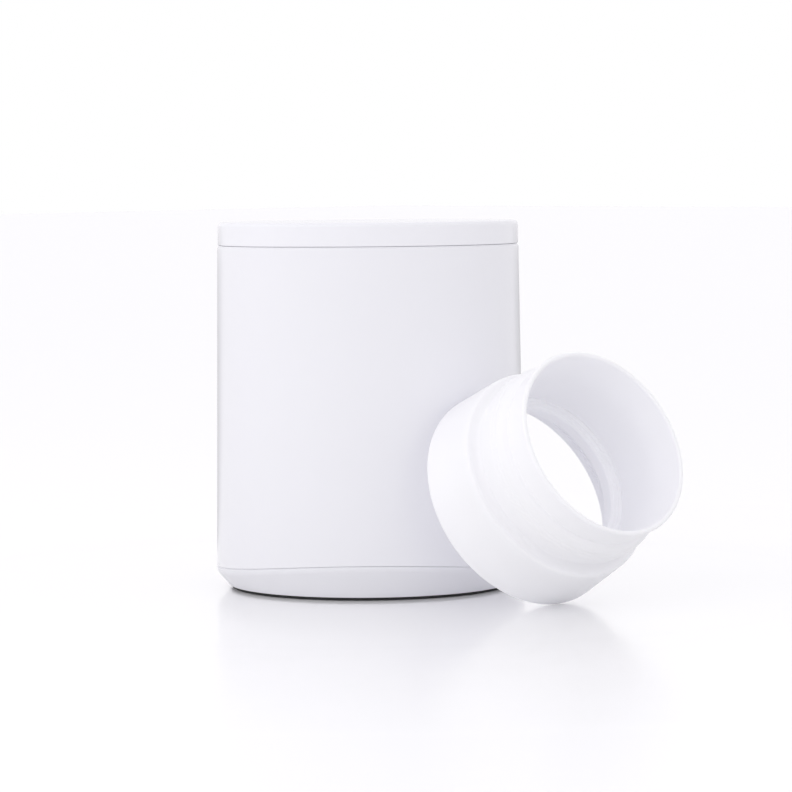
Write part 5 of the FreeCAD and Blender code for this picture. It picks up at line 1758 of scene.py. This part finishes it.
# ---- Inner pieces --------------------------------------------------------------------------------
@dataclass
class Innards:
    """Frame nodes that show as they are.

    Attributes:
        finishes: The finish of each.
    """

    finishes: dict[str, Finish] = field(default_factory=lambda: {
        "base_screws": ZINC_STEEL,
        "holder_screws": ZINC_STEEL,
        "clamp_screws": ZINC_STEEL,
        "board_screws": ZINC_STEEL,
        "button_board_screws": ZINC_STEEL,
        "chamber_holder": HOLDER_PLASTIC,
        "heater_film": AMBER_FILM,
        "button_flex": AMBER_FILM,
        "insulation_sleeve": PALE_FOAM,
        "insulation_disc": PALE_FOAM,
        "lid_insulation": PALE_FOAM,
        "temperature_sensor": TINNED,
        "thermal_fuse": TINNED,
        "battery_cell_front": CELL_SLEEVE,
        "battery_cell_back": CELL_SLEEVE,
        "battery_tabs": NICKEL,
        "battery_tray": FRAME_PLASTIC,
        "battery_clamp": FRAME_PLASTIC,
        "main_board": GREEN_BOARD,
        "button_board": GREEN_BOARD,
        "port_core": BLACK_PLASTIC,
        "tact_switch": BLACK_PLASTIC,
        "switch_plunger": BLACK_PLASTIC,
        "power_inductor": DARK_EPOXY,
        "control_chips": DARK_EPOXY,
        "capacitors": CAN_ALUMINIUM,
        "heater_connector": IVORY_PLASTIC,
        "flex_connector": IVORY_PLASTIC,
        "status_led": CLEAR_MOULDING,
    })

    def dress(self) -> None:
        """Give each node its finish."""
        for name, look in self.finishes.items():
            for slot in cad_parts[name].material_slots:
                slot.material = look.material()
            LOG.info("dressed %s as %s", name, look.name)


# ---- Studio --------------------------------------------------------------------------------------
TINT = (1.0, 0.99, 1.015)


@dataclass
class Softbox:
    """Large soft lamp.

    Attributes:
        name: Its name.
        place: Where it stands, in metres.
        size: Width and height, in metres.
        power: Its power, in watts.
        aim: What it points at, in metres.
    """

    name: str
    place: Triple
    size: Pair
    power: float
    aim: Triple = (0, 0, 0.05)

    def hang(self) -> None:
        """Add the lamp to the scene, where nothing mirrors it."""
        lamp = bpy.data.lights.new(self.name, "AREA")
        lamp.shape = "RECTANGLE"
        lamp.size, lamp.size_y = self.size
        lamp.energy = self.power
        lamp.color = TINT
        holder = bpy.data.objects.new(self.name, lamp)
        bpy.context.scene.collection.objects.link(holder)
        holder.location = self.place
        way = Vector(self.aim) - Vector(self.place)
        holder.rotation_euler = way.to_track_quat("-Z", "Y").to_euler()
        holder.visible_glossy = False


@dataclass
class Flag:
    """Grey board flat on the table behind the object, which only its polished sides mirror.

    Attributes:
        name: Its name.
        depths: Where it starts and ends behind the housing's axis, in metres.
        spread: Half its width over its distance from the axis.
        lift: How far over the table it lies, in metres.
        tone: Brightness, where 1 is white.
    """

    name: str = "dark_board"
    depths: Pair = (0.08, 5.5)
    spread: float = 0.65
    lift: float = 0.0005
    tone: float = 0.5

    def lay(self) -> None:
        """Add the board to the scene."""
        near, far = self.depths
        middle = (0, (near + far) / 2, self.lift)
        bpy.ops.object.select_all(action="DESELECT")
        bpy.ops.mesh.primitive_plane_add(size=1, location=middle)
        board = Bench.added(self.name)
        board.scale = (1, far - near, 1)
        bpy.ops.object.transform_apply(location=True, scale=True)
        for edge, reach in ((near, near * self.spread), (far, far * self.spread)):
            Bench.pick(board, "VERT", lambda co: abs(co.y * MM - edge) < SAME)
            bpy.ops.transform.resize(value=(2 * reach, 1, 1), center_override=(0, edge, self.lift))
            Bench.leave()
        look = bpy.data.materials.new(self.name)
        look.use_nodes = True
        sheet = Sheet(look.node_tree)
        surface = look.node_tree.nodes["Principled BSDF"]
        output = look.node_tree.nodes["Material Output"]
        surface.inputs["Base Color"].default_value = (0, 0, 0, 1)
        surface.inputs["Specular IOR Level"].default_value = 0
        surface.inputs["Emission Color"].default_value = (*TINT, 1)
        surface.inputs["Emission Strength"].default_value = self.tone
        sheet.clear_from_below(surface.outputs["BSDF"], output.inputs["Surface"])
        board.data.materials.append(look)
        board.visible_camera = False
        board.visible_diffuse = False
        board.visible_shadow = False
        board.visible_transmission = False


@dataclass
class Studio:
    """White table, white surround, soft lamps and the camera.

    Attributes:
        camera_place: Where the camera stands, in millimetres.
        pitch: Degrees that it looks down.
        roll: Degrees that it leans.
        lens: Focal length over a 36 mm sensor.
        ambient: Strength of the surround that lights the object.
        mirrored: Strength of the surround in polished surfaces.
        lift: Extra brightness of the table, as the camera sees it.
        table: From the table's middle to its corners, in metres.
        table_colour: Display colour of the table, 0 to 255.
        dull: Roughness of the table under its coat.
        polish: Roughness of its coat round the object and further out.
        shine: Weight of its coat round the object and further out.
        shine_reach: Distances from the middle between which the coat fades, in metres.
        mirror: Share of the table that reflects as a mirror does.
        bounces: How often light is passed on between the white pieces.
        boxes: The lamps.
        flag: The board.
    """

    camera_place: Triple = (7.1, -960.0, 108.6)
    pitch: float = 3.469
    roll: float = 0.527
    lens: float = 164.1
    ambient: float = 0.88
    mirrored: float = 1.0
    lift: float = 0.09
    table: float = 13.0
    table_colour: Triple = (248, 248, 248)
    dull: float = 0.4
    polish: Pair = (0.12, 0.27)
    shine: Pair = (1.0, 0.4)
    shine_reach: Pair = (0.13, 0.26)
    mirror: float = 0.1
    bounces: int = 16
    boxes: list[Softbox] = field(default_factory=lambda: [
        Softbox("side_softbox", (-1.31, -0.115, 0.479), (0.9, 1.2), 2.0),
        Softbox("right_softbox", (1.28, -0.2, 0.5), (0.8, 0.8), 0.3),
        Softbox("front_softbox", (-0.618, -1.07, 0.657), (0.9, 0.9), 2.4),
    ])
    flag: Flag = field(default_factory=Flag)

    def build(self) -> None:
        """Set the camera, the surround, the table, the lamps and the board."""
        self._camera()
        self._surround()
        self._table()
        for box in self.boxes:
            box.hang()
        self.flag.lay()
        scene = bpy.context.scene
        scene.view_settings.view_transform = "Standard"
        scene.cycles.max_bounces = self.bounces
        scene.cycles.diffuse_bounces = self.bounces

    def _camera(self) -> None:
        """Place the camera."""
        data = bpy.data.cameras.new("camera")
        data.sensor_width = 36.0
        data.lens = self.lens
        data.clip_start = 0.05
        data.clip_end = 50.0
        camera = bpy.data.objects.new("camera", data)
        bpy.context.scene.collection.objects.link(camera)
        camera.location = Vector(self.camera_place) * MM
        camera.rotation_mode = "QUATERNION"
        look = Quaternion((1, 0, 0), math.radians(90 - self.pitch))
        camera.rotation_quaternion = look @ Quaternion((0, 0, 1), -math.radians(self.roll))
        bpy.context.scene.camera = camera

    def _surround(self) -> None:
        """Make the surround white to the camera, white in reflections and softer to the object."""
        world = bpy.data.worlds.new("surround")
        world.use_nodes = True
        bpy.context.scene.world = world
        sheet = Sheet(world.node_tree)
        background = world.node_tree.nodes["Background"]
        rays = sheet.node("ShaderNodeLightPath")
        seen = sheet.ramp(rays.outputs["Is Camera Ray"], values=(self.ambient, 1.0))
        extra = (0.0, self.mirrored - self.ambient)
        mirrored = sheet.ramp(rays.outputs["Is Glossy Ray"], values=extra)
        total = sheet.node("ShaderNodeMath")
        sheet.join(seen, total.inputs[0])
        sheet.join(mirrored, total.inputs[1])
        tone = sheet.mix(rays.outputs["Is Camera Ray"], (*TINT, 1.0), (1.0, 1.0, 1.0, 1.0))
        sheet.join(tone, background.inputs["Color"])
        sheet.join(total.outputs["Value"], background.inputs["Strength"])

    def _table(self) -> None:
        """Add the white table, one face with no edge near the object, clear from below."""
        bpy.ops.object.select_all(action="DESELECT")
        bpy.ops.mesh.primitive_circle_add(vertices=3, radius=self.table, fill_type="NGON")
        table = Bench.added("table")
        look = bpy.data.materials.new("table_gloss")
        look.use_nodes = True
        sheet = Sheet(look.node_tree)
        surface = look.node_tree.nodes["Principled BSDF"]
        output = look.node_tree.nodes["Material Output"]
        surface.inputs["Base Color"].default_value = rgba(self.table_colour)
        surface.inputs["Metallic"].default_value = self.mirror
        surface.inputs["Roughness"].default_value = self.dull
        distance = sheet.outward(sheet.place())
        shine = sheet.ramp(distance, self.shine_reach, self.shine)
        polish = sheet.ramp(distance, self.shine_reach, self.polish)
        sheet.join(shine, surface.inputs["Coat Weight"])
        sheet.join(polish, surface.inputs["Coat Roughness"])
        rays = sheet.node("ShaderNodeLightPath")
        glow = sheet.ramp(rays.outputs["Is Camera Ray"], values=(0.0, self.lift))
        surface.inputs["Emission Color"].default_value = (*TINT, 1)
        sheet.join(glow, surface.inputs["Emission Strength"])
        sheet.clear_from_below(surface.outputs["BSDF"], output.inputs["Surface"])
        table.data.materials.append(look)


def main() -> None:
    """Build every sub-assembly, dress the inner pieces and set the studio."""
    logging.basicConfig(level=logging.INFO, format="%(name)s: %(message)s")
    for assembly in (Housing(), Back(), Chamber(), Lid(), Adapter()):
        assembly.build()
    Innards().dress()
    Studio().build()


if __name__ == "__main__":
    main()
